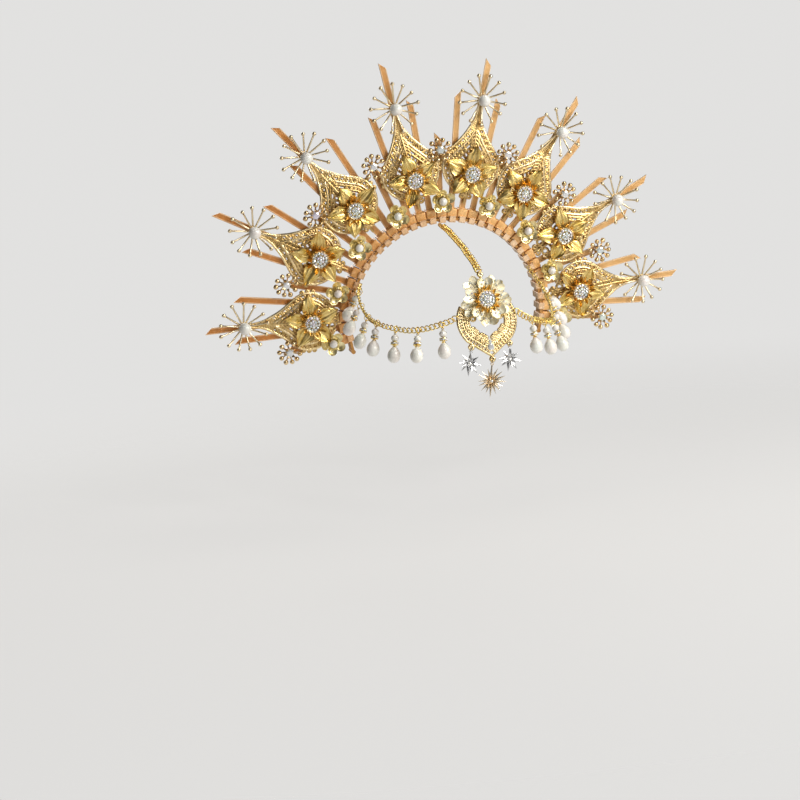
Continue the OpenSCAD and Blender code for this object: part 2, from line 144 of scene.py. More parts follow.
METRES = Matrix.Scale(0.001, 4)
HERE = Matrix.Identity(4)
FRONT = (0, -1, 0)
HALO = turned("X", HALO_LEAN) @ moved(0, 0, -SEAT_H)
PENDANT = moved(*PEND_TIP) @ turned("X", -PEND_LEAN)


def seat_at(angle):
    """Reach of the band's inner face along a spoke."""
    a = math.radians(angle)
    return -BAND_DROP * math.cos(a) + math.sqrt(BAND_R ** 2 - (BAND_DROP * math.sin(a)) ** 2)


def head_top(angle):
    """Reach of the top of a tie's head along its spoke."""
    return seat_at(angle) + BAND_T + GAP + LOOP_T / 2 + HEAD_H


def unit_angle(k):
    return (k - 4.5) * UNIT_STEP


def short_angle(i):
    return (i - 4) * UNIT_STEP


def spoke(angle):
    return HALO @ turned("Y", angle)


def in_plate(k):
    return spoke(unit_angle(k) + UNITS[k - 1].turn)


def in_flower(k):
    unit = UNITS[k - 1]
    return in_plate(k) @ moved(0, -DOME_FRONT - GAP, unit.flower) @ turned("Y", unit.flower_turn)


def in_spray(k):
    return in_plate(k) @ moved(0, -FRONT_SEAT, UNITS[k - 1].spray)


def along_short(i, reach):
    """A place on a short tie's front face, upright on its spoke."""
    top, tilt = head_top(short_angle(i)), SHORTS[i].tilt
    return (spoke(short_angle(i)) @ moved(0, 0, top) @ turned("Y", tilt)
            @ moved(0, -FRONT_SEAT, reach - top) @ turned("Y", -tilt))


# Trees of nodes

def add_node(tree, kind, settings=None, sockets=None):
    """One node: its settings first, then the values or links of its sockets."""
    node = tree.nodes.new(kind)
    for name, value in (settings or {}).items():
        if name == "stops":
            while len(node.color_ramp.elements) < len(value):
                node.color_ramp.elements.new(0.5)
            for element, (place, colour) in zip(node.color_ramp.elements, value):
                element.position, element.color = place, (*colour, 1)
        else:
            setattr(node, name, value)
    for key, value in (sockets or {}).items():
        if isinstance(value, bpy.types.NodeSocket):
            tree.links.new(value, node.inputs[key])
        else:
            node.inputs[key].default_value = value
    return node


def shown(name, data):
    made = bpy.data.objects.new(name, data)
    scene.collection.objects.link(made)
    return made


class Recipe:
    """A geometry tree with named inputs, which ends in Realize Instances and Set Material."""

    def __init__(self, name, inputs):
        self.tree = bpy.data.node_groups.new(name, "GeometryNodeTree")
        face = self.tree.interface
        face.new_socket("Geometry", in_out="OUTPUT", socket_type="NodeSocketGeometry")
        rows = [("Geometry", "Geometry"), *inputs, ("Material", "Material")]
        self.ids = {label: face.new_socket(
            label, in_out="INPUT", socket_type="NodeSocket" + kind).identifier for label, kind in rows}
        self.given = self.node("NodeGroupInput").outputs

    def node(self, kind, settings=None, sockets=None):
        return add_node(self.tree, kind, settings, sockets)

    def reckon(self, operation, first, second=0.0):
        return self.node("ShaderNodeMath", {"operation": operation}, {0: first, 1: second}).outputs[0]

    def chance(self, low, high, shift=0):
        """A random value for each copy; another shift gives other values."""
        seed = self.reckon("ADD", self.given["Seed"], shift)
        return self.node("FunctionNodeRandomValue", {"data_type": "FLOAT"},
                         {2: low, 3: high, "Seed": seed}).outputs[1]

    def vector(self, x=0.0, y=0.0, z=0.0):
        return self.node("ShaderNodeCombineXYZ", None, {0: x, 1: y, 2: z}).outputs[0]

    def rotation(self, angles):
        return self.node("FunctionNodeEulerToRotation", None, {0: angles}).outputs[0]

    def stored(self, name, kind="FLOAT"):
        return self.node("GeometryNodeInputNamedAttribute", {"data_type": kind}, {"Name": name}).outputs[0]

    def thick_curve(self):
        """The given polylines as curves, with the radius that is stored at each point."""
        curve = self.node("GeometryNodeMeshToCurve", None, {0: self.given["Geometry"]})
        return self.node("GeometryNodeSetCurveRadius", None, {
            0: curve.outputs[0], "Radius": self.stored("thick")}).outputs[0]

    def round_section(self):
        return self.node("GeometryNodeCurvePrimitiveCircle", {"mode": "RADIUS"}, {
            "Resolution": self.given["Sides"], "Radius": 1.0}).outputs[0]

    def sweep(self, curve, section):
        mesh = self.node("GeometryNodeCurveToMesh", None, {
            "Curve": curve, "Profile Curve": section, "Fill Caps": True})
        self.close(mesh.outputs[0])

    def repeat(self, points, rotation, scale):
        """The pattern piece on every point, each copy with a tint of its own."""
        piece = self.node("GeometryNodeObjectInfo", None, {"Object": self.given["Piece"]})
        made = self.node("GeometryNodeInstanceOnPoints", None, {
            "Points": points, "Instance": piece.outputs["Geometry"], "Rotation": rotation, "Scale": scale})
        tinted = self.node("GeometryNodeStoreNamedAttribute", {"data_type": "FLOAT", "domain": "INSTANCE"}, {
            "Geometry": made.outputs[0], "Name": "tint", "Value": self.chance(0.0, 1.0, 7)})
        self.close(tinted.outputs[0])

    def close(self, geometry):
        """Ends the tree: real geometry with the given finish."""
        real = self.node("GeometryNodeRealizeInstances", None, {"Geometry": geometry})
        done = self.node("GeometryNodeSetMaterial", None, {
            "Geometry": real.outputs[0], "Material": self.given["Material"]})
        self.node("NodeGroupOutput", None, {0: done.outputs[0]})

    def make(self, material, values, base=None):
        """The recipe's plain mesh for these input values, in millimetres."""
        carrier = shown("carrier", base or bpy.data.meshes.new("carrier"))
        helpers = [carrier]
        modifier = carrier.modifiers.new("made", "NODES")
        modifier.node_group = self.tree
        modifier[self.ids["Material"]] = material
        for label, value in values.items():
            if isinstance(value, bpy.types.Mesh):
                value = shown("pattern", value)
                helpers.append(value)
            modifier[self.ids[label]] = value
        bpy.context.view_layer.update()
        ready = carrier.evaluated_get(bpy.context.evaluated_depsgraph_get())
        mesh = bpy.data.meshes.new_from_object(ready)
        carrier.modifiers.remove(modifier)
        for helper in helpers:
            bpy.data.objects.remove(helper)
        return mesh


def ring_recipe():
    """Copies of a piece round a hub, each turned, tilted forward and a little uneven."""
    r = Recipe("ring of copies", [
        ("Piece", "Object"), ("Count", "Int"), ("Turn", "Float"), ("Front", "Float"), ("Tilt", "Float"),
        ("Tilt step", "Float"), ("Wobble", "Float"), ("Size wobble", "Float"), ("Seed", "Int")])
    g = r.given
    hub = r.node("GeometryNodeMeshLine", {"mode": "OFFSET"}, {
        "Count": g["Count"], "Start Location": r.vector(y=g["Front"]), "Offset": (0, 0, 0)})
    index = r.node("GeometryNodeInputIndex").outputs[0]
    even = r.reckon("MULTIPLY", index, r.reckon("DIVIDE", 360.0, g["Count"]))
    loose = r.reckon("MULTIPLY", r.chance(-1.0, 1.0), g["Wobble"])
    turn = r.reckon("ADD", r.reckon("ADD", even, g["Turn"]), loose)
    step = r.reckon("MULTIPLY", r.reckon("MODULO", index, 2.0), g["Tilt step"])
    lift = r.reckon("MULTIPLY", r.chance(-1.0, 1.0, 1), g["Wobble"])
    tilt = r.reckon("ADD", r.reckon("ADD", g["Tilt"], step), lift)
    angles = r.vector(r.reckon("RADIANS", tilt), r.reckon("RADIANS", turn))
    size = r.reckon("ADD", r.reckon("MULTIPLY", r.chance(-1.0, 1.0, 2), g["Size wobble"]), 1.0)
    r.repeat(hub.outputs[0], r.rotation(angles), size)
    return r


def points_recipe():
    """Copies of a piece on given points, each facing the way and having the size stored there."""
    r = Recipe("copies on points", [("Piece", "Object"), ("Seed", "Int")])
    roll = r.rotation(r.vector(z=r.chance(0.0, 6.28, 3)))
    aligned = r.node("FunctionNodeAlignRotationToVector", {"axis": "Z"}, {
        "Rotation": roll, "Vector": r.stored("facing", "FLOAT_VECTOR")})
    r.repeat(r.given["Geometry"], aligned.outputs[0], r.stored("size"))
    return r


def chain_recipe():
    """Links along a smooth route, rolled about it and a little loose."""
    r = Recipe("links along a route", [
        ("Piece", "Object"), ("Pitch", "Float"), ("Roll", "Float"), ("Wobble", "Float"), ("Seed", "Int")])
    curve = r.node("GeometryNodeMeshToCurve", None, {0: r.given["Geometry"]})
    smooth = r.node("GeometryNodeCurveSplineType", {"spline_type": "CATMULL_ROM"}, {0: curve.outputs[0]})
    fine = r.node("GeometryNodeResampleCurve", {"mode": "COUNT"}, {"Curve": smooth.outputs[0], "Count": 160})
    points = r.node("GeometryNodeCurveToPoints", {"mode": "LENGTH"}, {
        "Curve": fine.outputs[0], "Length": r.given["Pitch"]})
    loose = r.reckon("MULTIPLY", r.chance(-1.0, 1.0), r.given["Wobble"])
    roll = r.reckon("RADIANS", r.reckon("ADD", r.given["Roll"], loose))
    turn = r.node("FunctionNodeRotateRotation", {"rotation_space": "LOCAL"}, {
        0: points.outputs["Rotation"], 1: r.rotation(r.vector(z=roll))})
    r.repeat(points.outputs["Points"], turn.outputs[0], (1, 1, 1))
    return r


def row_recipe():
    """Copies of a piece in a straight row outward."""
    r = Recipe("row of copies", [
        ("Piece", "Object"), ("Count", "Int"), ("Start", "Float"), ("Step", "Float"), ("Seed", "Int")])
    line = r.node("GeometryNodeMeshLine", {"mode": "OFFSET"}, {
        "Count": r.given["Count"], "Start Location": r.vector(z=r.given["Start"]),
        "Offset": r.vector(z=r.given["Step"])})
    r.repeat(line.outputs[0], r.rotation((0, 0, 0)), (1, 1, 1))
    return r


def wire_recipe():
    """Round wire along every polyline."""
    r = Recipe("wire along lines", [("Sides", "Int")])
    r.sweep(r.thick_curve(), r.round_section())
    return r


def ribbon_recipe():
    """Flattened wire with a rounded face along every polyline, its broad side towards Z."""
    r = Recipe("flattened wire along lines", [("Sides", "Int"), ("Flatness", "Float")])
    level = r.node("GeometryNodeSetCurveNormal", {"mode": "Z_UP"}, {"Curve": r.thick_curve()})
    section = r.node("GeometryNodeTransform", None, {
        "Geometry": r.round_section(), "Scale": r.vector(1.0, r.given["Flatness"], 1.0)})
    r.sweep(level.outputs[0], section.outputs[0])
    return r


RING, POINTS, CHAIN, ROW, WIRE, RIBBON = (
    ring_recipe(), points_recipe(), chain_recipe(), row_recipe(), wire_recipe(), ribbon_recipe())


# Finishes

class Amount:
    """A socket of a finish, for plain arithmetic."""

    def __init__(self, finish, socket):
        self.finish, self.socket = finish, socket

    def reckon(self, operation, first, second):
        return self.finish.make("ShaderNodeMath", {"operation": operation}, {0: first, 1: second})

    def __add__(self, other):
        return self.reckon("ADD", self, other)

    def __sub__(self, other):
        return self.reckon("SUBTRACT", self, other)

    def __rsub__(self, other):
        return self.reckon("SUBTRACT", other, self)

    def __mul__(self, other):
        return self.reckon("MULTIPLY", self, other)

    __radd__, __rmul__ = __add__, __mul__


class Finish:
    """One material: constants on the shader's own sockets, the rest fed by nodes."""

    def __init__(self, name, **constants):
        self.material = bpy.data.materials.new(name)
        self.material.use_nodes = True
        self.tree = self.material.node_tree
        self.shader = self.tree.nodes["Principled BSDF"]
        for label, value in constants.items():
            self.shader.inputs[label.replace("_", " ")].default_value = value
        self.place = self.tree.nodes.new("ShaderNodeTexCoord").outputs["Object"]

    def make(self, kind, settings=None, sockets=None, output=0):
        plain = {key: value.socket if isinstance(value, Amount) else value
                 for key, value in (sockets or {}).items()}
        return Amount(self, add_node(self.tree, kind, settings, plain).outputs[output])

    def feed(self, label, amount):
        self.tree.links.new(amount.socket, self.shader.inputs[label])

    def noise(self, scale, detail):
        """Noise over the object from 0 to 1, with its contrast raised."""
        cloud = self.make("ShaderNodeTexNoise", None, {
            "Vector": self.place, "Scale": scale, "Detail": detail, "Roughness": 0.55})
        return self.make("ShaderNodeMapRange", None, {
            "Value": cloud, "From Min": 0.3, "From Max": 0.7, "To Min": 0.0, "To Max": 1.0})

    def stored(self, name):
        return self.make("ShaderNodeAttribute", {"attribute_name": name}, None, output=2)

    def blend(self, mask, low, high):
        low, high = [(*c, 1) if isinstance(c, tuple) else c for c in (low, high)]
        return self.make("ShaderNodeMix", {"data_type": "RGBA"}, {0: mask, 6: low, 7: high}, output=2)

    def ramp(self, amount, stops):
        return self.make("ShaderNodeValToRGB", {"stops": stops}, {0: amount})

    def relief(self, height, distance):
        self.feed("Normal", self.make("ShaderNodeBump", None, {
            "Strength": 1.0, "Distance": distance, "Height": height}))


def gilt(name, deep, bright, low, rough, dents):
    """Gilded brass: warm and cool patches, painted shade that darkens recesses towards the low colour, fine
    casting grain.
    """
    f = Finish(name, Metallic=1.0)
    patch, grain, recess = f.noise(190, 3.0), f.noise(1500, 2.0), f.stored("recess")
    tone = f.blend(patch, deep, bright)
    # The stored recess value mixes in the low colour: painted shade in recesses and at petal roots
    f.feed("Base Color", f.blend(recess * 0.85, tone, low))
    f.feed("Roughness", rough + 0.12 * grain + 0.08 * patch + 0.15 * recess)
    f.relief(grain * 0.45 + patch, dents)
    return f.material


def paint(name, shaded_left, tan, rubbed, rough, coat):
    """Gold paint over nylon: tan, turning darker and more copper towards the left as painted shade and warm
    light, faintly streaked and rubbed.
    """
    f = Finish(name, Metallic=0.25, Coat_Weight=coat, Coat_Roughness=0.18)
    # Painted shade and warm light: by the object's X the colour turns from the tan pair on the right to the
    # darker copper pair on the left
    across = f.make("ShaderNodeSeparateXYZ", None, {0: f.place})
    side = f.make("ShaderNodeMapRange", {"interpolation_type": "SMOOTHSTEP"}, {
        "Value": across, "From Min": -0.13, "From Max": 0.05})
    patch, streak, grain = f.noise(90, 3.0), f.noise(420, 2.0), f.noise(2600, 1.0)
    left, right = [f.blend(patch, *pair) for pair in (shaded_left, tan)]
    worn = f.make("ShaderNodeMapRange", None, {
        "Value": streak * 0.6 + grain * 0.4, "From Min": 0.62, "From Max": 0.85})
    f.feed("Base Color", f.blend(worn * 0.25 + f.stored("edge") * 0.65, f.blend(side, left, right), rubbed))
    f.feed("Roughness", rough + 0.12 * streak)
    f.relief(streak * 0.6 + grain * 0.4, 0.00003)
    return f.material


def pearl_skin(name, shade, light, rough):
    """Pearl: a satin body under a clear skin, with a faint play of pink and green."""
    f = Finish(name, Coat_Weight=0.6, Coat_Roughness=0.12, Specular_IOR_Level=0.6)
    cloud, ripple = f.noise(160, 3.0), f.noise(900, 2.0)
    body = f.blend(cloud, shade, light)
    play = f.ramp(f.noise(110, 1.0), [(0.0, (0.95, 0.84, 0.82)), (0.5, (0.97, 0.95, 0.90)),
                                      (1.0, (0.84, 0.92, 0.86))])
    f.feed("Base Color", f.make("ShaderNodeMix", {"data_type": "RGBA", "blend_type": "MULTIPLY"},
                                {0: 0.5, 6: body, 7: play}, output=2))
    f.feed("Roughness", rough + 0.12 * ripple)
    f.relief(cloud + ripple * 0.3, 0.00009)
    return f.material


def cut_glass():
    """Foiled glass stones with a rainbow coating that differs from stone to stone, and random facets darkened
    as painted reflection.
    """
    f = Finish("cut_glass", Metallic=0.35, Coat_Weight=1.0, Coat_Roughness=0.03)
    colours = f.ramp(f.stored("tint"), [
        (0.0, (0.97, 0.95, 0.91)), (0.3, (0.74, 0.86, 0.88)), (0.5, (0.98, 0.95, 0.92)),
        (0.7, (0.82, 0.75, 0.90)), (0.85, (0.80, 0.91, 0.80)), (1.0, (0.99, 0.94, 0.84))])
    # Painted reflection: random facets and flecks darken towards grey
    dark_facet_reflection = f.stored("facet") * 0.42 + f.noise(700, 1.0) * 0.12
    f.feed("Base Color", f.blend(dark_facet_reflection, colours, (0.48, 0.47, 0.52)))
    f.feed("Roughness", 0.05 + 0.08 * f.noise(1200, 1.0))
    return f.material


# Each gilt finish: its deep and bright colours, the colour of the painted shade in its recesses, its
# roughness and its dents in metres
# The filigree's gold is a darker copy, painted shade on its inner wires; the rim's gold is a paler copy,
# painted highlight on its rails
SHADED_FILIGREE_GOLD = gilt("gilt_filigree_shaded", (0.46, 0.28, 0.08), (0.82, 0.59, 0.27), (0.26, 0.11, 0.02), 0.22, 0.00004)
LIT_RIM_GOLD = gilt("gilt_rim_lit", (0.82, 0.58, 0.25), (1.0, 0.82, 0.50), (0.30, 0.13, 0.03), 0.18, 0.00003)
PETAL_GOLD = gilt("gilt_petal", (0.60, 0.40, 0.08), (0.98, 0.78, 0.34), (0.52, 0.22, 0.02), 0.18, 0.00008)
# An orange copy of the petal gold for the inner petals: painted warm reflection
WARM_REFLECTION_GOLD = gilt("gilt_warm_reflection", (0.70, 0.39, 0.06), (0.95, 0.66, 0.20), (0.50, 0.20, 0.02), 0.22, 0.00006)
AMBER_GOLD = gilt("gilt_amber", (0.80, 0.48, 0.09), (0.98, 0.72, 0.24), (0.60, 0.27, 0.04), 0.24, 0.00006)
ROSE_GOLD = gilt("gilt_rosette", (0.78, 0.62, 0.27), (1.0, 0.89, 0.54), (0.45, 0.32, 0.08), 0.22, 0.00006)
WIRE_GOLD = gilt("gilt_wire", (0.82, 0.65, 0.38), (1.0, 0.88, 0.64), (0.40, 0.26, 0.10), 0.22, 0.00002)
SPRIG_GOLD = gilt("gilt_sprig", (0.66, 0.46, 0.22), (0.94, 0.74, 0.44), (0.30, 0.16, 0.05), 0.16, 0.00002)
CHAIN_GOLD = gilt("gilt_chain", (0.84, 0.56, 0.12), (1.0, 0.82, 0.34), (0.35, 0.16, 0.03), 0.16, 0.00002)
BAND_GOLD = gilt("gilt_band", (0.45, 0.21, 0.06), (0.62, 0.34, 0.12), (0.20, 0.09, 0.03), 0.34, 0.00012)
PALE_PLATE = gilt("pale_gilt_plate", (0.60, 0.43, 0.18), (0.90, 0.73, 0.42), (0.40, 0.24, 0.09), 0.2, 0.00003)
# The pendant's petals: pale gilt, paled nearly to white as painted highlight
PALE_LIT_PETAL = gilt("pale_gilt_petal_highlit", (1.0, 0.90, 0.60), (1.0, 0.97, 0.80), (0.92, 0.72, 0.36), 0.4, 0.00007)
SILVER = gilt("silver_star", (0.62, 0.62, 0.63), (0.94, 0.94, 0.93), (0.20, 0.20, 0.20), 0.14, 0.00003)
CHAMPAGNE = gilt("champagne_star", (0.76, 0.60, 0.40), (0.97, 0.85, 0.66), (0.30, 0.22, 0.14), 0.16, 0.00003)
# Each paint: a copper pair, which is the painted shade on the left, a tan pair, a rubbed colour, roughness
# and coat
PAINT = paint(
    "strap_paint", shaded_left=((0.54, 0.19, 0.03), (0.66, 0.26, 0.05)),
    tan=((0.65, 0.35, 0.11), (0.78, 0.45, 0.17)), rubbed=(0.95, 0.68, 0.40), rough=0.3, coat=0.2)
# Lighter copies of the strap's paint: brighter on the heads and paler on the loops, as painted highlight
LIT_HEAD_PAINT = paint(
    "head_paint_lit", shaded_left=((0.56, 0.23, 0.05), (0.68, 0.31, 0.08)),
    tan=((0.84, 0.44, 0.13), (0.95, 0.56, 0.21)), rubbed=(0.97, 0.70, 0.40), rough=0.2, coat=0.6)
LIT_LOOP_PAINT = paint(
    "loop_paint_lit", shaded_left=((0.68, 0.36, 0.15), (0.80, 0.48, 0.24)),
    tan=((0.86, 0.54, 0.29), (0.95, 0.68, 0.43)), rubbed=(0.96, 0.78, 0.58), rough=0.2, coat=0.5)
PEARL = pearl_skin("pearl_round", (0.86, 0.83, 0.77), (0.97, 0.95, 0.91), 0.2)
SATIN_PEARL = pearl_skin("pearl_satin", (0.91, 0.88, 0.80), (0.99, 0.97, 0.92), 0.26)
GLASS = cut_glass()


# Meshes by hand

def mesh_of(name, verts, faces, material=None, recess=None):
    mesh = bpy.data.meshes.new(name)
    mesh.from_pydata([tuple(v) for v in verts], [], faces)
    # recess: the share of painted shade at each point
    if recess is not None:
        mesh.attributes.new("recess", "FLOAT", "POINT").data.foreach_set("value", recess)
    if material:
        mesh.materials.append(material)
    mesh.update()
    return mesh


def lines_of(lines):
    """A mesh of loose polylines; a line is its points and its thickness, or one at each point.

    A line whose ends meet is closed.
    """
    verts, edges, thick = [], [], []
    for points, size in lines:
        first = len(verts)
        closed = (Vector(points[0]) - Vector(points[-1])).length < 1e-5
        count = len(points) - closed
        verts += [tuple(p) for p in points[:count]]
        edges += [(first + i, first + i + 1) for i in range(count - 1)]
        if closed:
            edges.append((first + count - 1, first))
        thick += list(size)[:count] if isinstance(size, (list, tuple)) else [size] * count
    mesh = bpy.data.meshes.new("lines")
    mesh.from_pydata(verts, edges, [])
    mesh.attributes.new("thick", "FLOAT", "POINT").data.foreach_set("value", thick)
    return mesh


def dots_of(dots):
    """A mesh of loose points; a dot is its place, the way it faces and its size."""
    mesh = bpy.data.meshes.new("dots")
    mesh.from_pydata([tuple(d[0]) for d in dots], [], [])
    facing = mesh.attributes.new("facing", "FLOAT_VECTOR", "POINT")
    facing.data.foreach_set("vector", [c for d in dots for c in d[1]])
    mesh.attributes.new("size", "FLOAT", "POINT").data.foreach_set("value", [d[2] for d in dots])
    return mesh


def wires(lines, material, sides=6):
    return WIRE.make(material, {"Sides": sides}, lines_of(lines))


def ribbons(lines, material):
    """Flattened wires that face -Y, along lines that run in planes across and up."""
    laid = [([(p[0], p[2], -p[1]) for p in points], size) for points, size in lines]
    mesh = RIBBON.make(material, {"Sides": 6, "Flatness": 0.65}, lines_of(laid))
    mesh.transform(turned("X", 90))
    return mesh


def lathe(profile, sides, material, axis="Z"):
    """A solid turned about Z from (radius, height) rows; -Y takes the place of Z on request."""
    verts, faces, rings = [], [], []
    for radius, height in profile:
        if radius < 1e-6:
            rings.append([len(verts)])
            verts.append((0, 0, height))
            continue
        rings.append(list(range(len(verts), len(verts) + sides)))
        verts += [(radius * math.cos(i * math.tau / sides), radius * math.sin(i * math.tau / sides), height)
                  for i in range(sides)]
    for low, high in zip(rings, rings[1:]):
        for i in range(sides):
            j = (i + 1) % sides
            if len(low) == 1:
                faces.append((low[0], high[j], high[i]))
            elif len(high) == 1:
                faces.append((low[i], low[j], high[0]))
            else:
                faces.append((low[i], low[j], high[j], high[i]))
    if len(rings[0]) > 1:
        faces.append(tuple(reversed(rings[0])))
    if len(rings[-1]) > 1:
        faces.append(tuple(rings[-1]))
    if axis == "-Y":
        verts = [(x, -z, y) for x, y, z in verts]
    return mesh_of("lathe", verts, faces, material)


def ball_rows(radius, middle, rows):
    return [(radius * math.sin(math.pi * i / rows) if 0 < i < rows else 0,
             middle - radius * math.cos(math.pi * i / rows)) for i in range(rows + 1)]


def between(rows, x):
    """Value at x of a smooth line through (x, value) rows."""
    for (x0, y0), (x1, y1) in zip(rows, rows[1:]):
        if x <= x1:
            t = max(0.0, (x - x0) / (x1 - x0))
            t = t * t * (3 - 2 * t) * 0.35 + t * 0.65
            return y0 + (y1 - y0) * t
    return rows[-1][1]


def sheet_faces(rows, columns):
    """Faces of a thin closed sheet: a grid of front points, then the same grid of back points."""
    step, n = columns + 1, (rows + 1) * (columns + 1)
    faces = []
    for r in range(rows):
        for c in range(columns):
            a = r * step + c
            faces.append((a, a + 1, a + 1 + step, a + step))
            faces.append((n + a, n + a + step, n + a + 1 + step, n + a + 1))
    rim = ([c for c in range(columns)] + [r * step + columns for r in range(rows)]
           + [rows * step + c for c in range(columns, 0, -1)] + [r * step for r in range(rows, 0, -1)])
    for a, b in zip(rim, rim[1:] + rim[:1]):
        faces.append((b, a, n + a, n + b))
    return faces


def vein_at(t, fans):
    """Height of the veins at a place across a petal; each is a ridge with a groove beside it."""
    width, groove = 0.08, 0.15
    return sum(share * (math.exp(-((t - ridge) / width) ** 2)
                        - 0.9 * math.exp(-((t - ridge - groove) / width) ** 2)) for ridge, share in fans)


def petal(length, half, outline, bow, cup, veins, thick, material, rows, columns, seed,
          tip_back=0.0, wave=0.0, notch=0.0, fold=0.0):
    """A closed, curved petal from its root up to its tip at +Z, facing -Y.

    outline gives the share of the half width along the petal, bow and cup how far the middle
    and the edges stand forward, and veins the number of raised veins and their height. tip_back
    bends the tip back, wave ruffles the edges, notch cuts into the tip and fold turns the sides.
    """
    chance = random.Random(seed)
    phase, lean = chance.uniform(0, 6.28), chance.uniform(-0.4, 0.4)
    count, height = veins
    fans = [((2 * i + 1) / count - 1 + chance.uniform(-0.4, 0.4) / count, chance.uniform(0.4, 1.0))
            for i in range(count)]
    front, recess = [], []
    # s runs from the root, 0, to the tip, 1, and t from edge to edge, -1 to 1
    for s in [r / rows for r in range(rows + 1)]:
        ragged = 1 + 0.05 * math.sin(12 * s + phase) + 0.03 * math.sin(29 * s + 2 * phase)
        width = half * between(outline, s) * ragged
        fade = math.sin(math.pi * min(1, 0.1 + s * 0.92)) ** 0.6
        for t in [2 * c / columns - 1 for c in range(columns + 1)]:
            vein = vein_at(t, fans)
            crease = -0.75 * max(0, 1 - abs(t) * 5) * (1 - 0.5 * s)
            rim = cup * t * t * (width / half) ** 0.7 + 0.4 * max(0.0, abs(t) * 7 - 6) * (width / half)
            ruffle = wave * abs(t) ** 3 * math.sin(math.tau * 1.7 * s + phase + 2.0 * (t > 0))
            bend = fold * math.sin(2.4 * t + phase) * s
            forward = (bow * math.sin(math.pi * s ** 0.8) - tip_back * s ** 3 + rim + height * vein * fade
                       + crease + ruffle + bend + lean * t * s)
            dip = notch * max(0.0, 1 - abs(t) * 1.6) * s ** 5
            front.append((width * t, -forward, length * s - dip))
            # Painted shade: darker beside and between the veins, and towards the root
            recess.append(min(1.0, max(0.0, 0.12 - 0.6 * vein) + max(0.0, 1 - s * 2.4)))
    back = [(x, y + thick * 0.92, z) for x, y, z in front]
    return mesh_of("petal", front + back, sheet_faces(rows, columns), material, recess + recess)


def cut_stone(sides):
    """A faceted stone of radius 1 facing +Z: a table, a crown of triangles, a girdle and a back."""
    def ring(r, z, shift=0.0):
        turns = [(i + shift) * math.tau / sides for i in range(sides)]
        return [(r * math.cos(turn), r * math.sin(turn), z) for turn in turns]
    verts = ring(0.7, -0.45) + ring(1, 0) + ring(0.8, 0.3, 0.5) + ring(0.46, 0.46)
    faces = [tuple(range(sides - 1, -1, -1)), tuple(3 * sides + i for i in range(sides))]
    for i in range(sides):
        j = (i + 1) % sides
        a, b, c, d = [[level * sides + i, level * sides + j] for level in range(4)]
        faces += [(a[0], a[1], b[1], b[0]), (b[0], b[1], c[0]), (b[1], c[1], c[0]),
                  (c[0], c[1], d[1]), (c[0], d[1], d[0])]
    mesh = mesh_of("stone", verts, faces)
    # A random share of painted reflection for each face, which darkens it in the glass finish
    chance = random.Random(sides)
    shades = [chance.random() for _ in faces]
    mesh.attributes.new("facet", "FLOAT", "FACE").data.foreach_set("value", shades)
    return mesh


def bevelled(boxes, width, segments, material):
    """Boxes as ((x0, x1), (y0, y1), (z0, z1), taper), joined in one mesh with rounded edges."""
    made = bmesh.new()
    for (x0, x1), (y0, y1), (z0, z1), taper in boxes:
        for v in bmesh.ops.create_cube(made, size=1.0)["verts"]:
            high = v.co.z > 0
            share = taper if high else 1
            v.co.x = (x0 + x1) / 2 + (x1 - x0) * v.co.x * share
            v.co.y = (y0 + y1) / 2 + (y1 - y0) * v.co.y * share
            v.co.z = z1 if high else z0
    bmesh.ops.bevel(made, geom=made.edges[:], offset=width, segments=segments, affect="EDGES", profile=0.6)
    mesh = bpy.data.meshes.new("block")
    made.to_mesh(mesh)
    made.free()
    return set_material(mesh, material)


def oval_link(long_half, wide_half, wire_r, around, sides, twist=0):
    """A link in the plane of Z and X, long along Z, its ends twisted apart as in a curb chain."""
    verts, faces = [], []
    for i in range(around):
        a = i * math.tau / around
        middle = Vector((wide_half * math.sin(a), 0, long_half * math.cos(a)))
        out = Vector((math.sin(a) / wide_half, 0, math.cos(a) / long_half)).normalized()
        bend = turned("Z", twist * math.cos(a))
        for s in range(sides):
            b = s * math.tau / sides
            verts.append(bend @ (middle + wire_r * (math.cos(b) * out + math.sin(b) * Vector((0, 1, 0)))))
    for i in range(around):
        for s in range(sides):
            a, b = i * sides, (i + 1) % around * sides
            t = (s + 1) % sides
            faces.append((a + s, b + s, b + t, a + t))
    return mesh_of("link", verts, faces)


def set_material(mesh, material):
    mesh.materials.clear()
    mesh.materials.append(material)
    return mesh


# Finishing a piece

def finish_piece(name, parts, nodes, smooth=65):
    """Joins meshes with their places into one piece in metres, and hands it to the frame."""
    copies = []
    for mesh, place in parts:
        copy = mesh.copy()
        copy.transform(METRES @ place)
        copies.append(shown("part", copy))
    piece = copies[0]
    if len(copies) > 1:
        with bpy.context.temp_override(active_object=piece, object=piece, selected_objects=copies,
                                       selected_editable_objects=copies):
            bpy.ops.object.join()
    piece.name = piece.data.name = name
    if smooth:
        piece.data.shade_smooth()
        piece.data.set_sharp_from_angle(angle=math.radians(smooth))
    else:
        piece.data.shade_flat()
    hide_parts(*nodes)
    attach(piece, "root")
    return piece


# Ties

HEAD_HALF_W, HEAD_HALF_D, HEAD_ROUND = 3.7, 3.9, 0.95
COLLAR_HALF_W, COLLAR_HALF_D, COLLAR_H = 2.9, 1.5, 1.0
# A strap's rack: half the groove's width, its depth, then the first tooth and the teeth's step
GROOVE_HALF, GROOVE_DEPTH, RACK_START, RACK_STEP = 1.45, 0.18, 3.2, 1.25


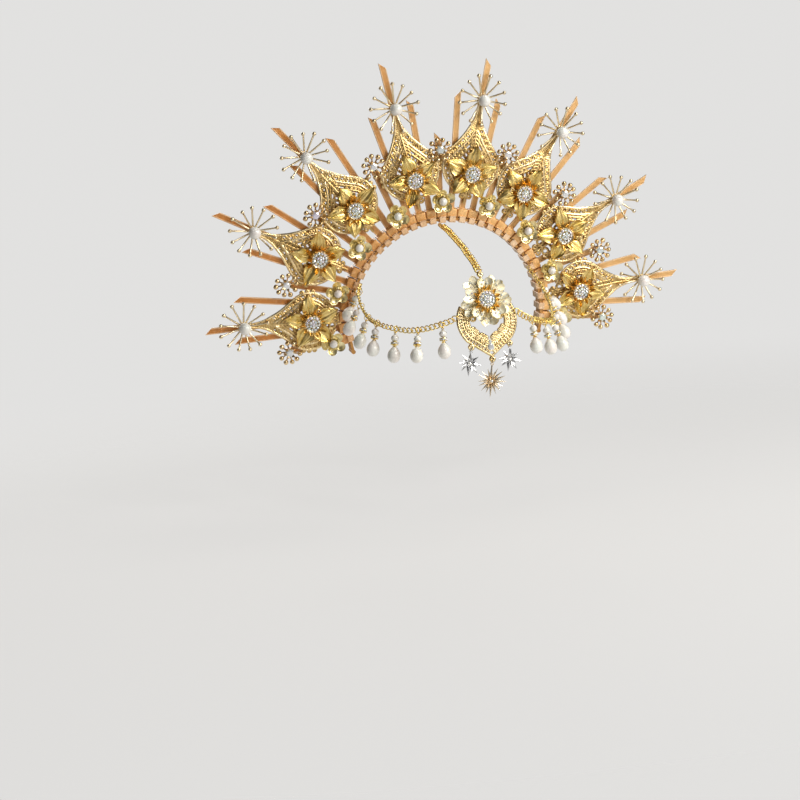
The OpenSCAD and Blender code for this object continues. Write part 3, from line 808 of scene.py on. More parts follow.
def strap_mesh(length, slant_side):
    """A strap with rounded rails either side of a groove, cut at a slant."""
    w, t = STRAP_W / 2, STRAP_T / 2
    rail, floor = GROOVE_HALF + 0.25, -t + GROOVE_DEPTH
    section = [(-w, -t + 0.3), (-w + 0.3, -t), (-rail, -t), (-GROOVE_HALF, floor), (GROOVE_HALF, floor),
               (rail, -t), (w - 0.3, -t), (w, -t + 0.3), (w, t - 0.2), (w - 0.25, t), (-w + 0.25, t),
               (-w, t - 0.2)]
    levels = [0, 0.25, 0.5, 0.75, 1]
    verts, faces = [], []
    for level in levels:
        for x, y in section:
            share = (x + w) / (2 * w)
            end = length - TIP_SLANT * (share if slant_side > 0 else 1 - share)
            verts.append((x, y, end * level))
    n = len(section)
    edge = [float(abs(x) > 1.6) for x, _ in section] * len(levels)
    for i in range(len(levels) - 1):
        for j in range(n):
            k = (j + 1) % n
            faces.append((i * n + j, i * n + k, (i + 1) * n + k, (i + 1) * n + j))
    faces += [tuple(range(n - 1, -1, -1)), tuple((len(levels) - 1) * n + j for j in range(n))]
    mesh = mesh_of("strap", verts, faces, PAINT)
    mesh.attributes.new("edge", "FLOAT", "POINT").data.foreach_set("value", edge)
    return mesh


def tooth():
    """One low wedge of the strap's rack."""
    half, low, high, face, top = 1.35, -0.32, -0.42, 0.55, 0.75
    verts = [(-half, low, 0), (half, low, 0), (half, high, face), (-half, high, face),
             (-half, -0.28, top), (half, -0.28, top)]
    faces = [(0, 1, 2, 3), (3, 2, 5, 4), (0, 3, 4), (1, 5, 2), (0, 4, 5, 1)]
    return mesh_of("tooth", verts, faces)


TOOTH = tooth()


def tie_parts(angle, reach, tilt, slant_side):
    """The loop round the band, the head and the strap of one tie, with their places."""
    base = seat_at(angle)
    inner, outer = base - GAP - LOOP_T, base + BAND_T + GAP + LOOP_T
    half, w = BAND_D / 2 + GAP + LOOP_T, STRAP_W / 2
    upright = (inner + 0.3, outer - 0.3)
    loop = bevelled([
        ((-w, w), (-half, half), (inner, inner + LOOP_T), 1),
        ((-w, w), (-half, half), (outer - LOOP_T, outer), 1),
        ((-w, w), (-half, -half + LOOP_T), upright, 1),
        ((-w, w), (half - LOOP_T, half), upright, 1)], 0.25, 1, LIT_LOOP_PAINT)
    top = outer - LOOP_T / 2
    high = top + HEAD_H
    head = bevelled([((-HEAD_HALF_W, HEAD_HALF_W), (-HEAD_HALF_D, HEAD_HALF_D),
                      (top - 0.8, high + 0.5), 1.04)], HEAD_ROUND, 3, LIT_HEAD_PAINT)
    collar = bevelled([((-COLLAR_HALF_W, COLLAR_HALF_W), (-COLLAR_HALF_D, COLLAR_HALF_D),
                        (high, high + COLLAR_H), 0.9)], 0.25, 1, LIT_HEAD_PAINT)
    length = reach - head_top(angle) + STRAP_IN
    teeth = ROW.make(PAINT, {
        "Piece": TOOTH, "Count": int((length - 8 - TIP_SLANT) / RACK_STEP), "Start": RACK_START,
        "Step": RACK_STEP, "Seed": 0})
    here = spoke(angle)
    there = here @ moved(0, 0, head_top(angle)) @ turned("Y", tilt) @ moved(0, 0, -STRAP_IN)
    strap = strap_mesh(length, slant_side)
    return [(loop, here), (head, here), (collar, here), (strap, there), (teeth, there)]


def make_ties():
    long, side, short = [], [], []
    for k in EACH_UNIT:
        unit, angle = UNITS[k - 1], unit_angle(k)
        long += tie_parts(angle, unit.long, unit.long_tilt, 1)
        side += tie_parts(angle - TIE_STEP, unit.left, unit.left_tilt, 1 if k < 5 else -1)
        side += tie_parts(angle + TIE_STEP, unit.right, unit.right_tilt, 1)
    for i, row in enumerate(SHORTS):
        short += tie_parts(short_angle(i), MIDDLE_REACH if i == 4 else SHORT_REACH, row.tilt, 1)
    for node, parts in (("long_ties", long), ("side_ties", side), ("short_ties", short)):
        finish_piece(node + "_painted", parts, [node], smooth=35)


# Plates

# Depth below the spray, and the share of the plate's half width there
PLATE_ROWS = [(2.9, 0.062), (10, 0.09), (16, 0.16), (20, 0.25), (25, 0.38), (30, 0.54), (35, 0.73),
              (40, 0.9), (45, 0.985), (50, 1), (55, 0.965), (60, 0.85), (64, 0.69), (67, 0.5), (69.5, 0.32)]
EDGE_STEP, SHEET_MIDDLE, NECK_FRONT, NECK_END = 0.5, 0.45, -1.4, 20
# A rail's way in from the edge, its first and last depth, its radius and its lift
EDGE_RAILS = [(0.5, 2.9, 70, 0.56, 0.3), (5.2, 20, 69, 0.34, 0.22)]
INNER_RAILS = [(7.3, 25, 67, 0.26, 0.18), (9.9, 30, 65.5, 0.26, 0.2)]
# The largest cell of the rim, and its comma: angle, reach and radius from tail to head
CELL_R = 1.95
COMMA = [(50, 1.0, 0.34), (60, 0.7, 0.22), (70, 0.38, 0.24), (60, 0.08, 0.52), (-60, 0.1, 0.4)]
ACROSS, ALONG = Vector((1, 0)), Vector((0, 1))


def on_dome(across, depth, reach, lift=0.0):
    """A point of the plate's middle sheet, by its place across and its depth below the spray."""
    dome = DOME_R - DOME_FRONT - math.sqrt(DOME_R ** 2 - across ** 2 - (depth - DOME_BELOW) ** 2)
    y = dome + SHEET_MIDDLE if depth > NECK_END else NECK_FRONT
    return Vector((across, y - lift, reach - depth))


def on_plate(lines, reach, sides=(1, -1)):
    """Lines of a plate's right half, laid on the plate on the given sides."""
    return [([on_dome(side * p.x, p.y, reach, lift) for p in points], size)
            for points, size, lift in lines for side in sides]


def evened(points, step):
    """The same line with points at an even step."""
    even, spare = [points[0]], 0.0
    for a, b in zip(points, points[1:]):
        length = (b - a).length
        while spare + length >= step:
            a = a.lerp(b, (step - spare) / length)
            length = (b - a).length
            spare = 0.0
            even.append(a)
        spare += length
    return even


def with_normals(points, side):
    """Each point with the way on and the way inward, which lies to the given side."""
    rows = []
    for i, p in enumerate(points):
        ahead = (points[min(i + 1, len(points) - 1)] - points[max(i - 1, 0)]).normalized()
        rows.append((p, ahead, side * Vector((-ahead.y, ahead.x))))
    return rows


def plate_edge():
    """Points down the right edge, each with the way on and the way inward."""
    knots = [Vector((PLATE_HALF * half, depth)) for depth, half in PLATE_ROWS]
    fine, steps = [], 12
    for i in range(len(knots) - 1):
        p0, p1, p2, p3 = (knots[max(i - 1, 0)], knots[i], knots[i + 1], knots[min(i + 2, len(knots) - 1)])
        for step in range(steps):
            t = step / steps
            fine.append(0.5 * (2 * p1 + (p2 - p0) * t + (2 * p0 - 5 * p1 + 4 * p2 - p3) * t * t
                               + (3 * p1 - p0 - 3 * p2 + p3) * t ** 3))
    return with_normals(evened(fine + [knots[-1]], EDGE_STEP), 1)


EDGE = plate_edge()


def beside(centre, along, inward, reach, angle):
    """The point at this reach and angle (in radians) from a centre."""
    return centre + reach * (math.cos(angle) * along + math.sin(angle) * inward)


def curl(centre, along, inward, size, start, sweep, points=9):
    """A small scroll that winds in."""
    shares = [i / (points - 1) for i in range(points)]
    return [beside(centre, along, inward, size * (1 - 0.62 * s), math.radians(start + sweep * s))
            for s in shares]


def circle(centre, along, inward, radius, points=12):
    """A closed ring in the plane of two ways."""
    return [beside(centre, along, inward, radius, math.tau * i / points) for i in range(points + 1)]


def swelling(size, count, blob):
    """Radii of a wire of even thickness whose last points swell to a blob."""
    return [size] * count + blob


def rails(rows):
    """The edge's line moved inward, between two depths."""
    lines = []
    for way_in, low, high, size, lift in rows:
        path = [p + way_in * n for p, _, n in EDGE if low <= p.y <= high and (p + way_in * n).x > 0.3]
        lines.append((path, size, lift))
    return lines


def rim_cells():
    """Rings side by side down the right edge, each with a comma that comes from either side."""
    lines, wait, flip = [], 0.0, 0
    for p, t, n in EDGE[:-8]:
        wait -= EDGE_STEP
        ring = min(CELL_R, 0.38 * p.x)
        if p.y < 13 or wait > 0:
            continue
        wait, flip = 2 * ring + 0.4, 180 - flip
        centre, share = p + (1.0 + ring) * n, ring / CELL_R
        lines.append((circle(centre, t, n, ring), 0.3 * share, 0.12))
        comma = [beside(centre, t, n, reach * ring, math.radians(angle + flip)) for angle, reach, _ in COMMA]
        lines.append((comma, [share * size for _, _, size in COMMA], 0.06))
    return lines


def inside(point):
    """Whether a point lies within the innermost rail."""
    near = min(EDGE, key=lambda row: abs(row[0].y - point.y))[0]
    return abs(point.x) < near.x - 10.2 and 30 < point.y < 64


def rail_trim():
    """Bars between the inner rails, and a row of scrolls within them."""
    lines = []
    for p, t, n in EDGE[48:-16:7]:
        if (p + 6.5 * n).x > 0.5 and p.y > 25:
            lines.append(([p + 5.2 * n, p + 7.3 * n + 0.5 * t], 0.28, 0.1))
        centre = p + 8.6 * n + 1.6 * t
        if centre.x > 1.4 and p.y > 30:
            lines.append((curl(centre, t, n, 1.15, 250, -380), swelling(0.26, 6, [0.32, 0.4, 0.48]), 0.08))
    return lines


def scales():
    """Rows of arches, each over the gap of the row before, within the innermost rail."""
    lines, half, rise = [], 1.7, 2.2
    for depth in range(32, 66, 3):
        for column in range(8):
            x = 2 * half * column + (half if depth % 2 else 0)
            arc = [Vector((x + half * math.cos(math.pi * j / 6), depth + rise * math.sin(math.pi * j / 6)))
                   for j in range(7)]
            if inside(arc[0]) and inside(arc[-1]) and inside(arc[3]):
                lines.append((arc, 0.27, 0.02 * column))
    return lines


def outer_scrolls():
    """Three scrolls that stand out from the plate's widest part."""
    lines = []
    for depth in (44.5, 48.5, 52.5):
        p, t, n = min(EDGE, key=lambda row: abs(row[0].y - depth))
        scroll = curl(p - 0.6 * n, t, n, 1.4, 60, -330)
        lines.append((scroll, swelling(0.26, 5, [0.3, 0.36, 0.45, 0.45]), 0.04))
    return lines


def neck_ribs():
    """Ribs across the neck, each bent down in the middle."""
    lines = []
    for i in range(14):
        depth = 4.5 + i * 1.35
        half = between([(d, PLATE_HALF * share) for d, share in PLATE_ROWS], depth) - 0.3
        lines.append(([Vector((-half, depth - 0.8)), Vector((0, depth + 0.7)), Vector((half, depth - 0.8))],
                      0.36, 0.16))
    return lines


def stem_leaves():
    """Pairs of leaves up the stem."""
    lines = []
    for i in range(5):
        depth = 23 + i * 2.6
        for side in (-1, 1):
            bend = [Vector((side * 3.0 * math.sin(a), depth - 1.6 * math.cos(a) + 1.6 + 1.2 * math.sin(a)))
                    for a in [j * 0.5 for j in range(5)]]
            lines.append((bend, [0.22, 0.3, 0.36, 0.3, 0.2], 0.24))
    return lines


def middle_lines(foot):
    """Wires on a plate's middle line: the stem, the ribbed neck, the leaves and the looped foot."""
    depths = range(3, 37)
    lines = [([Vector((0, d)) for d in depths], [0.57 if d < 24 else 0.32 for d in depths], 0.3)]
    lines += neck_ribs() + stem_leaves()
    for x, depth, size in ((-4.1, 66.3, 2.3), (4.1, 66.3, 2.3), (0, 69.2, 2.2)):
        lines.append((circle(Vector((x, depth)), ACROSS, ALONG, size), 0.36, 0.03 + 0.02 * x))
    for side in (-1, 1):
        lines.append((curl(Vector((side * 3.0, 71.4)), side * ACROSS, ALONG, 1.9, 200, -330),
                      swelling(0.34, 6, [0.42, 0.52, 0.6]), 0.08))
    lines.append(([Vector((0, 62)), Vector((0, 68)), Vector((0, foot - 1.2)), Vector((0, foot))],
                  [0.4, 0.45, 0.5, 0.75], 0.15))
    return lines


def make_plates():
    rim, half = rails(EDGE_RAILS), rails(INNER_RAILS) + rim_cells() + rail_trim() + scales() + outer_scrolls()
    for k in EACH_UNIT:
        reach = UNITS[k - 1].spray
        foot = min(FOOT_DEPTH, reach - head_top(unit_angle(k)) - GAP)
        fine = on_plate(half, reach) + on_plate(middle_lines(foot), reach, (1,))
        parts = [(ribbons(on_plate(rim, reach), LIT_RIM_GOLD), in_plate(k)), (ribbons(fine, SHADED_FILIGREE_GOLD), in_plate(k))]
        finish_piece(f"filigree_wires_{k}", parts, [f"filigree_{k}"])


# Flowers

# Place along a petal, and the share of its half width there
BROAD = [(0, 0.34), (0.15, 0.46), (0.3, 0.74), (0.43, 0.95), (0.54, 1.0), (0.66, 0.9), (0.77, 0.68),
         (0.88, 0.38), (0.95, 0.16), (1, 0.03)]
NARROW = [(0, 0.7), (0.2, 0.85), (0.45, 1.0), (0.7, 0.85), (0.88, 0.5), (1, 0.1)]
HEART = [(0, 0.3), (0.2, 0.42), (0.4, 0.66), (0.6, 0.92), (0.75, 1.0), (0.88, 0.97), (0.96, 0.86), (1, 0.72)]
PETAL_LENGTH, PETAL_TURN = 21.4, 72
PAVE_R, PAVE_RISE = 5.8, 2.2
STONE, BIG_STONE = cut_stone(8), cut_stone(12)


def ringed(metal, piece, count, seed, turn=0, front=0, tilt=0, tilt_step=0, wobble=0, size_wobble=0):
    """Copies of a piece round a hub; every second one is tilted by the step more."""
    return RING.make(metal, {
        "Piece": piece, "Count": count, "Turn": float(turn), "Front": float(front), "Tilt": float(tilt),
        "Tilt step": float(tilt_step), "Wobble": float(wobble), "Size wobble": float(size_wobble),
        "Seed": seed})


def set_stones(rows, seed, stone=STONE):
    """Cut stones from rows of place, way they face and radius."""
    return POINTS.make(GLASS, {"Piece": stone, "Seed": seed}, dots_of(rows))


def paved_stones(front, seed):
    """A paved dome: one stone in the middle, six and then twelve round it."""
    rows = []
    ball = (PAVE_R ** 2 + PAVE_RISE ** 2) / (2 * PAVE_RISE)
    for ring, count in enumerate((1, 6, 12)):
        for i in range(count):
            a = i * math.tau / count + ring * 0.26
            away = math.asin(ring * PAVE_R * 0.415 / ball)
            out = Vector((math.sin(away) * math.cos(a), -math.cos(away), math.sin(away) * math.sin(a)))
            centre = Vector((0, front - 0.8 - PAVE_RISE + ball, 0)) + (ball - 0.35) * out
            rows.append((centre, out, PAVE_R * 0.205))
    return set_stones(rows, seed)


def claw(reach, size, gold):
    """A prong that comes up round an edge and bends in to a blunt tip."""
    line = [(0, 1.2, reach), (0, 0, reach + 0.1), (0, -1.2, reach), (0, -1.9, reach - 0.55)]
    return wires([(line, [size, size, size * 0.9, size * 1.15])], gold, 5)


def cluster(front, back, seed, cup_gold):
    """The cup and the prongs of a paved middle, from its back to its front."""
    cup = lathe([(2.0, back - 0.1), (3.4, back), (5.9, front - 1.0), (6.25, front - 0.3), (6.2, front + 0.1),
                 (0, front + 0.1)], 32, cup_gold, "-Y")
    prongs = ringed(WIRE_GOLD, claw(6.1, 0.36, WIRE_GOLD), 18, seed, turn=5, front=-front, wobble=1.5,
                    size_wobble=0.02)
    return [cup, prongs]


def large_petals(seed):
    """The five leaf-like petals of a large flower, each a little different."""
    chance = random.Random(seed)
    leaves = []
    for i in range(5):
        leaf = petal(PETAL_LENGTH * chance.uniform(0.95, 1.05), chance.uniform(5.3, 6.6), BROAD,
                     bow=chance.uniform(1.0, 2.2), cup=chance.uniform(-0.4, 1.6), veins=(5, 0.2), thick=0.5,
                     material=PETAL_GOLD, rows=24, columns=30, seed=seed * 10 + i,
                     tip_back=chance.uniform(-1.8, 1.6), wave=0.8, fold=0.9)
        leaves.append(ringed(PETAL_GOLD, leaf, 1, seed + i, turn=i * PETAL_TURN, front=-1.1, tilt=7,
                             wobble=3))
    return leaves


def make_flowers():
    stones = []
    hub = lathe([(0, -0.1), (3.4, 0), (3.9, 1.0), (3.2, 2.6), (2.0, 4.2), (0, 4.4)], 20, PETAL_GOLD, "-Y")
    hook = [(1.5 * math.sin(0.55 * i), -3.4, 9.6 - 1.5 * math.cos(0.55 * i)) for i in range(9)]
    tendril = wires([([(0, -2.2, 3.5), (0, -3.2, 6.0)] + hook, swelling(0.34, 9, [0.45, 0.6]))], LIT_RIM_GOLD)
    for k in EACH_UNIT:
        seed, place = 40 + k, in_flower(k)
        inner = petal(12.0, 1.8, NARROW, bow=1.0, cup=0.9, veins=(2, 0.16), thick=0.4, material=WARM_REFLECTION_GOLD,
                      rows=12, columns=8, seed=seed, tip_back=-2.0, wave=0.4, fold=0.3)
        meshes = [hub, *large_petals(seed)]
        meshes.append(ringed(WARM_REFLECTION_GOLD, inner, 10, seed, turn=18, front=-1.3, tilt=15, tilt_step=8, wobble=6,
                             size_wobble=0.12))
        meshes.append(ringed(LIT_RIM_GOLD, tendril, 1, seed, turn=108 if k % 2 else 252, wobble=4,
                             size_wobble=0.05))
        meshes += cluster(4.9, 3.2, seed, PETAL_GOLD)
        finish_piece(f"flower_petals_{k}", [(mesh, place) for mesh in meshes], [f"flower_{k}"])
        stones.append((paved_stones(-5.3, seed), place))
    finish_piece("flower_paved_stones", stones, ["flower_stones"], smooth=0)


# Sprays, sprigs and rosettes

SPRAY_WIRES, SPRAY_REACH, SPRAY_PEARL_R = 13, 17.5, 4.5
SPRIG_WIRES, SPRIG_REACH, SPRIG_STONE_R = 10, 7.7, 3.5
ROSETTE_PEARL_R = 3.0


def ball_wire(length, root, wire_r, ball_r, gold):
    """A wire that swells to a ball, from its root outward along Z."""
    rows = [(wire_r * 1.15, root), (wire_r, root + 1), (wire_r * 0.85, length - ball_r * 0.95),
            (ball_r * 0.75, length - ball_r * 0.62), (ball_r, length),
            (ball_r * 0.72, length + ball_r * 0.68), (0, length + ball_r)]
    return lathe(rows, 8, gold)


def make_sprays():
    pearl = lathe(ball_rows(SPRAY_PEARL_R, 8.8, 20), 28, PEARL, "-Y")
    base = lathe([(0, 0), (2.4, 0), (2.6, 0.8), (2.2, 2.2), (2.9, 3.6), (3.5, 4.1), (3.2, 4.5), (0, 4.2)],
                 20, WIRE_GOLD, "-Y")
    wire = ball_wire(SPRAY_REACH, 2.0, 0.72, 1.5, WIRE_GOLD)
    claws = ringed(WIRE_GOLD, claw(3.35, 0.32, WIRE_GOLD), 6, 3, turn=10, front=-5.2, wobble=2,
                   size_wobble=0.03)
    for k in EACH_UNIT:
        star = ringed(WIRE_GOLD, wire, SPRAY_WIRES, 60 + k, turn=8, front=-2.6, tilt=3, tilt_step=4,
                      wobble=1.4, size_wobble=0.04)
        parts = [(mesh, in_spray(k)) for mesh in (star, base, claws)]
        finish_piece(f"spray_wires_{k}", parts, [f"spray_{k}"])
    finish_piece("spray_round_pearls", [(pearl, in_spray(k)) for k in EACH_UNIT], ["spray_pearls"])


def make_sprigs():
    parts, stones = [], []
    wire = ball_wire(SPRIG_REACH, 1.4, 0.58, 1.9, SPRIG_GOLD)
    base = lathe([(0, 0), (1.7, 0), (1.9, 1.0), (1.5, 2.6), (2.6, 4.0), (3.4, 4.8), (3.1, 5.2), (0, 4.9)],
                 16, SPRIG_GOLD, "-Y")
    claws = ringed(SPRIG_GOLD, claw(3.3, 0.24, SPRIG_GOLD), 6, 5, front=-5.2, wobble=2, size_wobble=0.03)
    for i, row in enumerate(SHORTS):
        place = along_short(i, row.sprig)
        star = ringed(SPRIG_GOLD, wire, SPRIG_WIRES, 80 + i, turn=18, front=-3.6, tilt=10, tilt_step=4,
                      wobble=3, size_wobble=0.05)
        parts += [(mesh, place) for mesh in (star, base, claws)]
        stones.append((set_stones([((0, -5.6, 0), FRONT, SPRIG_STONE_R)], 100 + i, BIG_STONE), place))
    finish_piece("sprig_wires", parts, ["sprigs"])
    finish_piece("sprig_cut_stones", stones, ["sprig_stones"], smooth=0)


def make_rosettes():
    parts, pearls = [], []
    pearl = lathe(ball_rows(ROSETTE_PEARL_R, 7.8, 16), 22, PEARL, "-Y")
    base = lathe([(0, 0), (1.8, 0), (2.0, 1.2), (1.6, 3.0), (2.2, 4.2), (2.6, 4.7), (2.3, 5.0), (0, 4.9)],
                 16, ROSE_GOLD, "-Y")
    dish = lathe([(0, -0.8), (1.3, -0.75), (2.6, -0.2), (3.45, 0.65), (3.6, 0.9), (3.4, 0.9), (2.4, 0.15),
                  (1.2, -0.2), (0, -0.15)], 22, ROSE_GOLD, "-Y")
    dish.transform(moved(0, -0.2, 6.6))
    neck = wires([([(0, 0.2, 1.4), (0, 0.3, 3.0), (0, 0.4, 4.6)], [0.8, 0.9, 1.2])], ROSE_GOLD)
    stamen = wires([([(0, -0.1, 1.6), (0, -0.6, 3.2), (0, -1.3, 4.6), (0, -1.6, 5.2)],
                     [0.14, 0.14, 0.16, 0.2])], ROSE_GOLD, 5)
    for i, row in enumerate(SHORTS):
        place = along_short(i, row.rosette)
        leaves = ringed(ROSE_GOLD, dish, 5, 120 + i, front=-2.9, tilt=22, wobble=4, size_wobble=0.05)
        necks = ringed(ROSE_GOLD, neck, 5, 120 + i, front=-2.9, tilt=22)
        fringe = ringed(ROSE_GOLD, stamen, 20, 140 + i, front=-3.4, tilt=12, tilt_step=6, wobble=3,
                        size_wobble=0.08)
        parts += [(mesh, place) for mesh in (leaves, necks, fringe, base)]
        pearls.append((pearl, place))
    finish_piece("rosette_petals", parts, ["rosettes"])
    finish_piece("rosette_round_pearls", pearls, ["rosette_pearls"])


# Chains

def make_chains():
    """Curb chains, from rows of node, route, a link's half width and wire radius, pitch and roll."""
    for node, route, wide_half, wire_r, pitch, roll in (
            ("brow_chain_left", BROW_LEFT, 2.1, 0.45, 3.5, 90.0),
            ("brow_chain_right", BROW_RIGHT, 2.1, 0.45, 3.5, 90.0),
            ("parting_chain", PARTING, 2.35, 0.58, 3.1, 0.0)):
        link = oval_link(2.35, wide_half, wire_r, 14, 6, twist=38)
        links = CHAIN.make(CHAIN_GOLD, {
            "Piece": link, "Pitch": pitch, "Roll": roll, "Wobble": 6.0, "Seed": 2}, lines_of([(route, 1.0)]))
        finish_piece(node + "_links", [(links, HERE)], [node])


# Drops

# The teardrop's radius, length and fattest place, and the radius of the small pearl above it
TEAR_R, TEAR_LENGTH, TEAR_FAT, BEAD_R = 4.55, 13.0, 0.6, 2.65
# How far the hook is from the chain, and each part's place below the hook
HOOK_OUT, PIN_AT, BEAD_AT, RONDELLE_AT, TEAR_AT, CAP_AT = 2.9, 0.9, 3.9, 7.8, 8.9, 9.35


def drop_rows():
    """The chain's point, its way on, the way down and the way across for each drop."""
    rows = [(BROW_LEFT, i, lean) for i, lean in LEFT_DROPS]
    rows += [(BROW_RIGHT, i, lean) for i, lean in RIGHT_DROPS]
    made = []
    for route, i, lean in rows:
        p = Vector(route[i])
        along = (Vector(route[i + 1]) - Vector(route[i - 1])).normalized()
        out = Vector((p.x, p.y, 0)).normalized()
        a = math.radians(lean)
        down = math.sin(a) * out - math.cos(a) * Vector((0, 0, 1))
        across = (down - down.dot(along) * along).normalized()
        made.append((p, along, down, across))
    return made


def pointing(place, way, spin):
    """A place whose Z points along way and whose X leans to spin."""
    z = Vector(way).normalized()
    x = (spin - spin.dot(z) * z).normalized()
    return Matrix.Translation(place) @ Matrix((x, z.cross(x), z)).transposed().to_4x4()


def hoop(radius, wire_r, around, sides, metal):
    return set_material(oval_link(radius, radius, wire_r, around, sides), metal)


def tear_profile():
    """Rows of an egg-shaped drop, fat and round below and narrow above."""
    rows, count = [], 20
    for i in range(count):
        s = i / count
        if s > TEAR_FAT:
            r = TEAR_R * math.sqrt(1 - ((s - TEAR_FAT) / (1 - TEAR_FAT)) ** 2)
        else:
            r = TEAR_R * math.cos(math.pi / 2 * ((TEAR_FAT - s) / TEAR_FAT) ** 1.2)
        rows.append((max(r, 0.9), -TEAR_LENGTH * s))
    return [(0, -TEAR_LENGTH)] + rows[::-1]


def make_drops():
    bead = lathe(ball_rows(BEAD_R, 0, 14), 20, PEARL)
    tear = lathe(tear_profile(), 26, SATIN_PEARL)
    collar = lathe([(0.6, -1.15), (2.2, -1.15), (2.75, -0.95), (2.8, -0.7), (2.1, -0.45), (2.0, 0.45),
                    (2.8, 0.7), (2.75, 0.95), (2.2, 1.15), (0.6, 1.15)], 20, CHAIN_GOLD)
    cap = lathe([(0.5, -0.3), (1.5, -0.75), (1.35, -0.3), (0.8, 0.15), (0.5, 0.2)], 12, CHAIN_GOLD)
    eye, ring = hoop(0.8, 0.25, 14, 5, CHAIN_GOLD), hoop(2.5, 0.3, 20, 6, CHAIN_GOLD)
    pin = lathe([(0, -11.6), (0.36, -11.5), (0.36, 0), (0, 0.1)], 8, CHAIN_GOLD)
    spokes = [Vector((math.cos(i * math.tau / 9), math.sin(i * math.tau / 9), 0)) for i in range(9)]
    beads, rondelles, pins = [], [], []
    for i, (p, along, down, across) in enumerate(drop_rows()):
        hook = p + HOOK_OUT * across
        hang = pointing(hook, -down, along)
        finish_piece(f"drop_tear_{i + 1}", [(tear, hang @ moved(0, 0, -TEAR_AT))], [f"drop_{i + 1}"])
        beads.append((bead, hang @ moved(0, 0, -BEAD_AT)))
        stones = set_stones([(2.35 * out, out, 0.86) for out in spokes], 200 + i)
        rondelles += [(mesh, hang @ moved(0, 0, -RONDELLE_AT)) for mesh in (collar, stones)]
        pins += [(ring, pointing(p + 0.4 * across, across, across.cross(along))),
                 (eye, pointing(hook + 0.1 * down, down, along)),
                 (pin, hang @ moved(0, 0, -PIN_AT)), (cap, hang @ moved(0, 0, -CAP_AT))]
    finish_piece("drop_round_beads", beads, ["drop_beads"])
    finish_piece("drop_stone_rondelles", rondelles, ["drop_rondelles"], smooth=30)
    finish_piece("drop_rings_and_pins", pins, ["drop_pins"])


# Pendant

PENDANT_STEP = 0.47
# The plate's outline: an arc's middle above the tip, its radius, and the angles of its two ends
ARC_UP, ARC_R, ARC_TOP, ARC_SHOULDER = 26.6, 21.5, 121.7, 48.5
# Way in from the edge and radius of each rail
PENDANT_RAILS = [(0.45, 0.48), (3.6, 0.32), (8.2, 0.28)]
# Place across and up of each lug: the parting chain's and the stars'
LUGS = [(0, 59)] + [(across, up) for across, up, _, _ in STARS.values()]
LUG_R = 1.45
# Place across and up, and size, of the scrolls beside the opening
PENDANT_SCROLLS = [(5.5, 32, 3.0), (9.5, 28.5, 2.4), (3.4, 15.2, 1.7), (5.2, 12.6, 1.5)]
# Height, cup radius and stone radius of the two hanging stones
HUNG_STONES = [(11, 1.2, 1.25), (7.2, 2.6, 2.6)]
# Length, half width, first turn, place along Y and tilt of each row of the flower's petals
FLOWER_ROWS = [(16.4, 5.7, 0, -2.3, 12), (18.6, 6.3, 36, -0.9, 5)]


def pendant_edge():
    """Points down the pendant plate's right edge, across and up, with the ways on and inward."""
    fine, steps = [], 71
    for i in range(steps + 1):
        a = math.radians(ARC_TOP - i * (ARC_TOP - ARC_SHOULDER) / steps)
        fine.append(Vector((ARC_R * math.sin(a), ARC_UP - ARC_R * math.cos(a))))
    return with_normals(evened(fine + [Vector((0, 0.4))], PENDANT_STEP), -1)


def upright(points):
    return [Vector((p.x, 0, p.y)) for p in points]


def pendant_half():
    """Every wire of the pendant plate's right half: rails, ladder bars and two rows of scrolls."""
    edge = pendant_edge()
    lines = []
    for way_in, size in PENDANT_RAILS:
        lines.append(([p + way_in * n for p, _, n in edge if (p + way_in * n).x > 0.05], size))
    for p, _, n in edge[3:-4:5]:
        if (p + 3.7 * n).x > 0.3:
            lines.append(([p + 0.5 * n, p + 3.5 * n], [0.4, 0.32]))
    for p, t, n in edge[4:-16:8]:
        centre = p + 6.3 * n
        if centre.x > 1.2:
            lines.append((curl(centre, t, n, 1.6, 60, -390), swelling(0.17, 6, [0.22, 0.28, 0.32])))
            bar = [centre + 1.9 * t - 2.6 * n, centre + 1.75 * t + 0.1 * n, centre + 1.9 * t + 1.9 * n]
            lines.append((bar, [0.24, 0.16, 0.22]))
    for p, t, n in edge[8:-18:8]:
        centre = p + 9.6 * n
        if centre.x > 2 and centre.y < 22:
            lines.append((curl(centre, t, n, 1.25, 200, -350), swelling(0.17, 6, [0.22, 0.28, 0.34])))
    return lines


def make_pendant_plate():
    lines = []
    for points, size in pendant_half():
        for side in (1, -1):
            lines.append((upright([Vector((side * p.x, p.y)) for p in points]), size))
    lines.append(([Vector((0, 0, 30 + i)) for i in range(28)], 0.6))
    for lug in LUGS:
        lines.append((upright(circle(Vector(lug), ACROSS, ALONG, LUG_R, 14)), 0.32))
    for side in (-1, 1):
        for x, y, size in PENDANT_SCROLLS:
            bend = curl(Vector((side * x, y)), side * ACROSS, ALONG, size, 90, -420, 13)
            lines.append((upright(bend), swelling(0.32, 9, [0.36, 0.42, 0.5, 0.5])))
    parts = [(wires(lines, PALE_PLATE), PENDANT)]
    for up, r, _ in HUNG_STONES:
        cup = lathe([(0, -0.4), (r + 0.3, -0.4), (r + 0.5, 0.4), (r + 0.35, 0.9), (0, 0.8)],
                    20, PALE_PLATE, "-Y")
        parts.append((cup, PENDANT @ moved(0, 0, up)))
    finish_piece("pendant_filigree", parts, ["pendant_plate"])


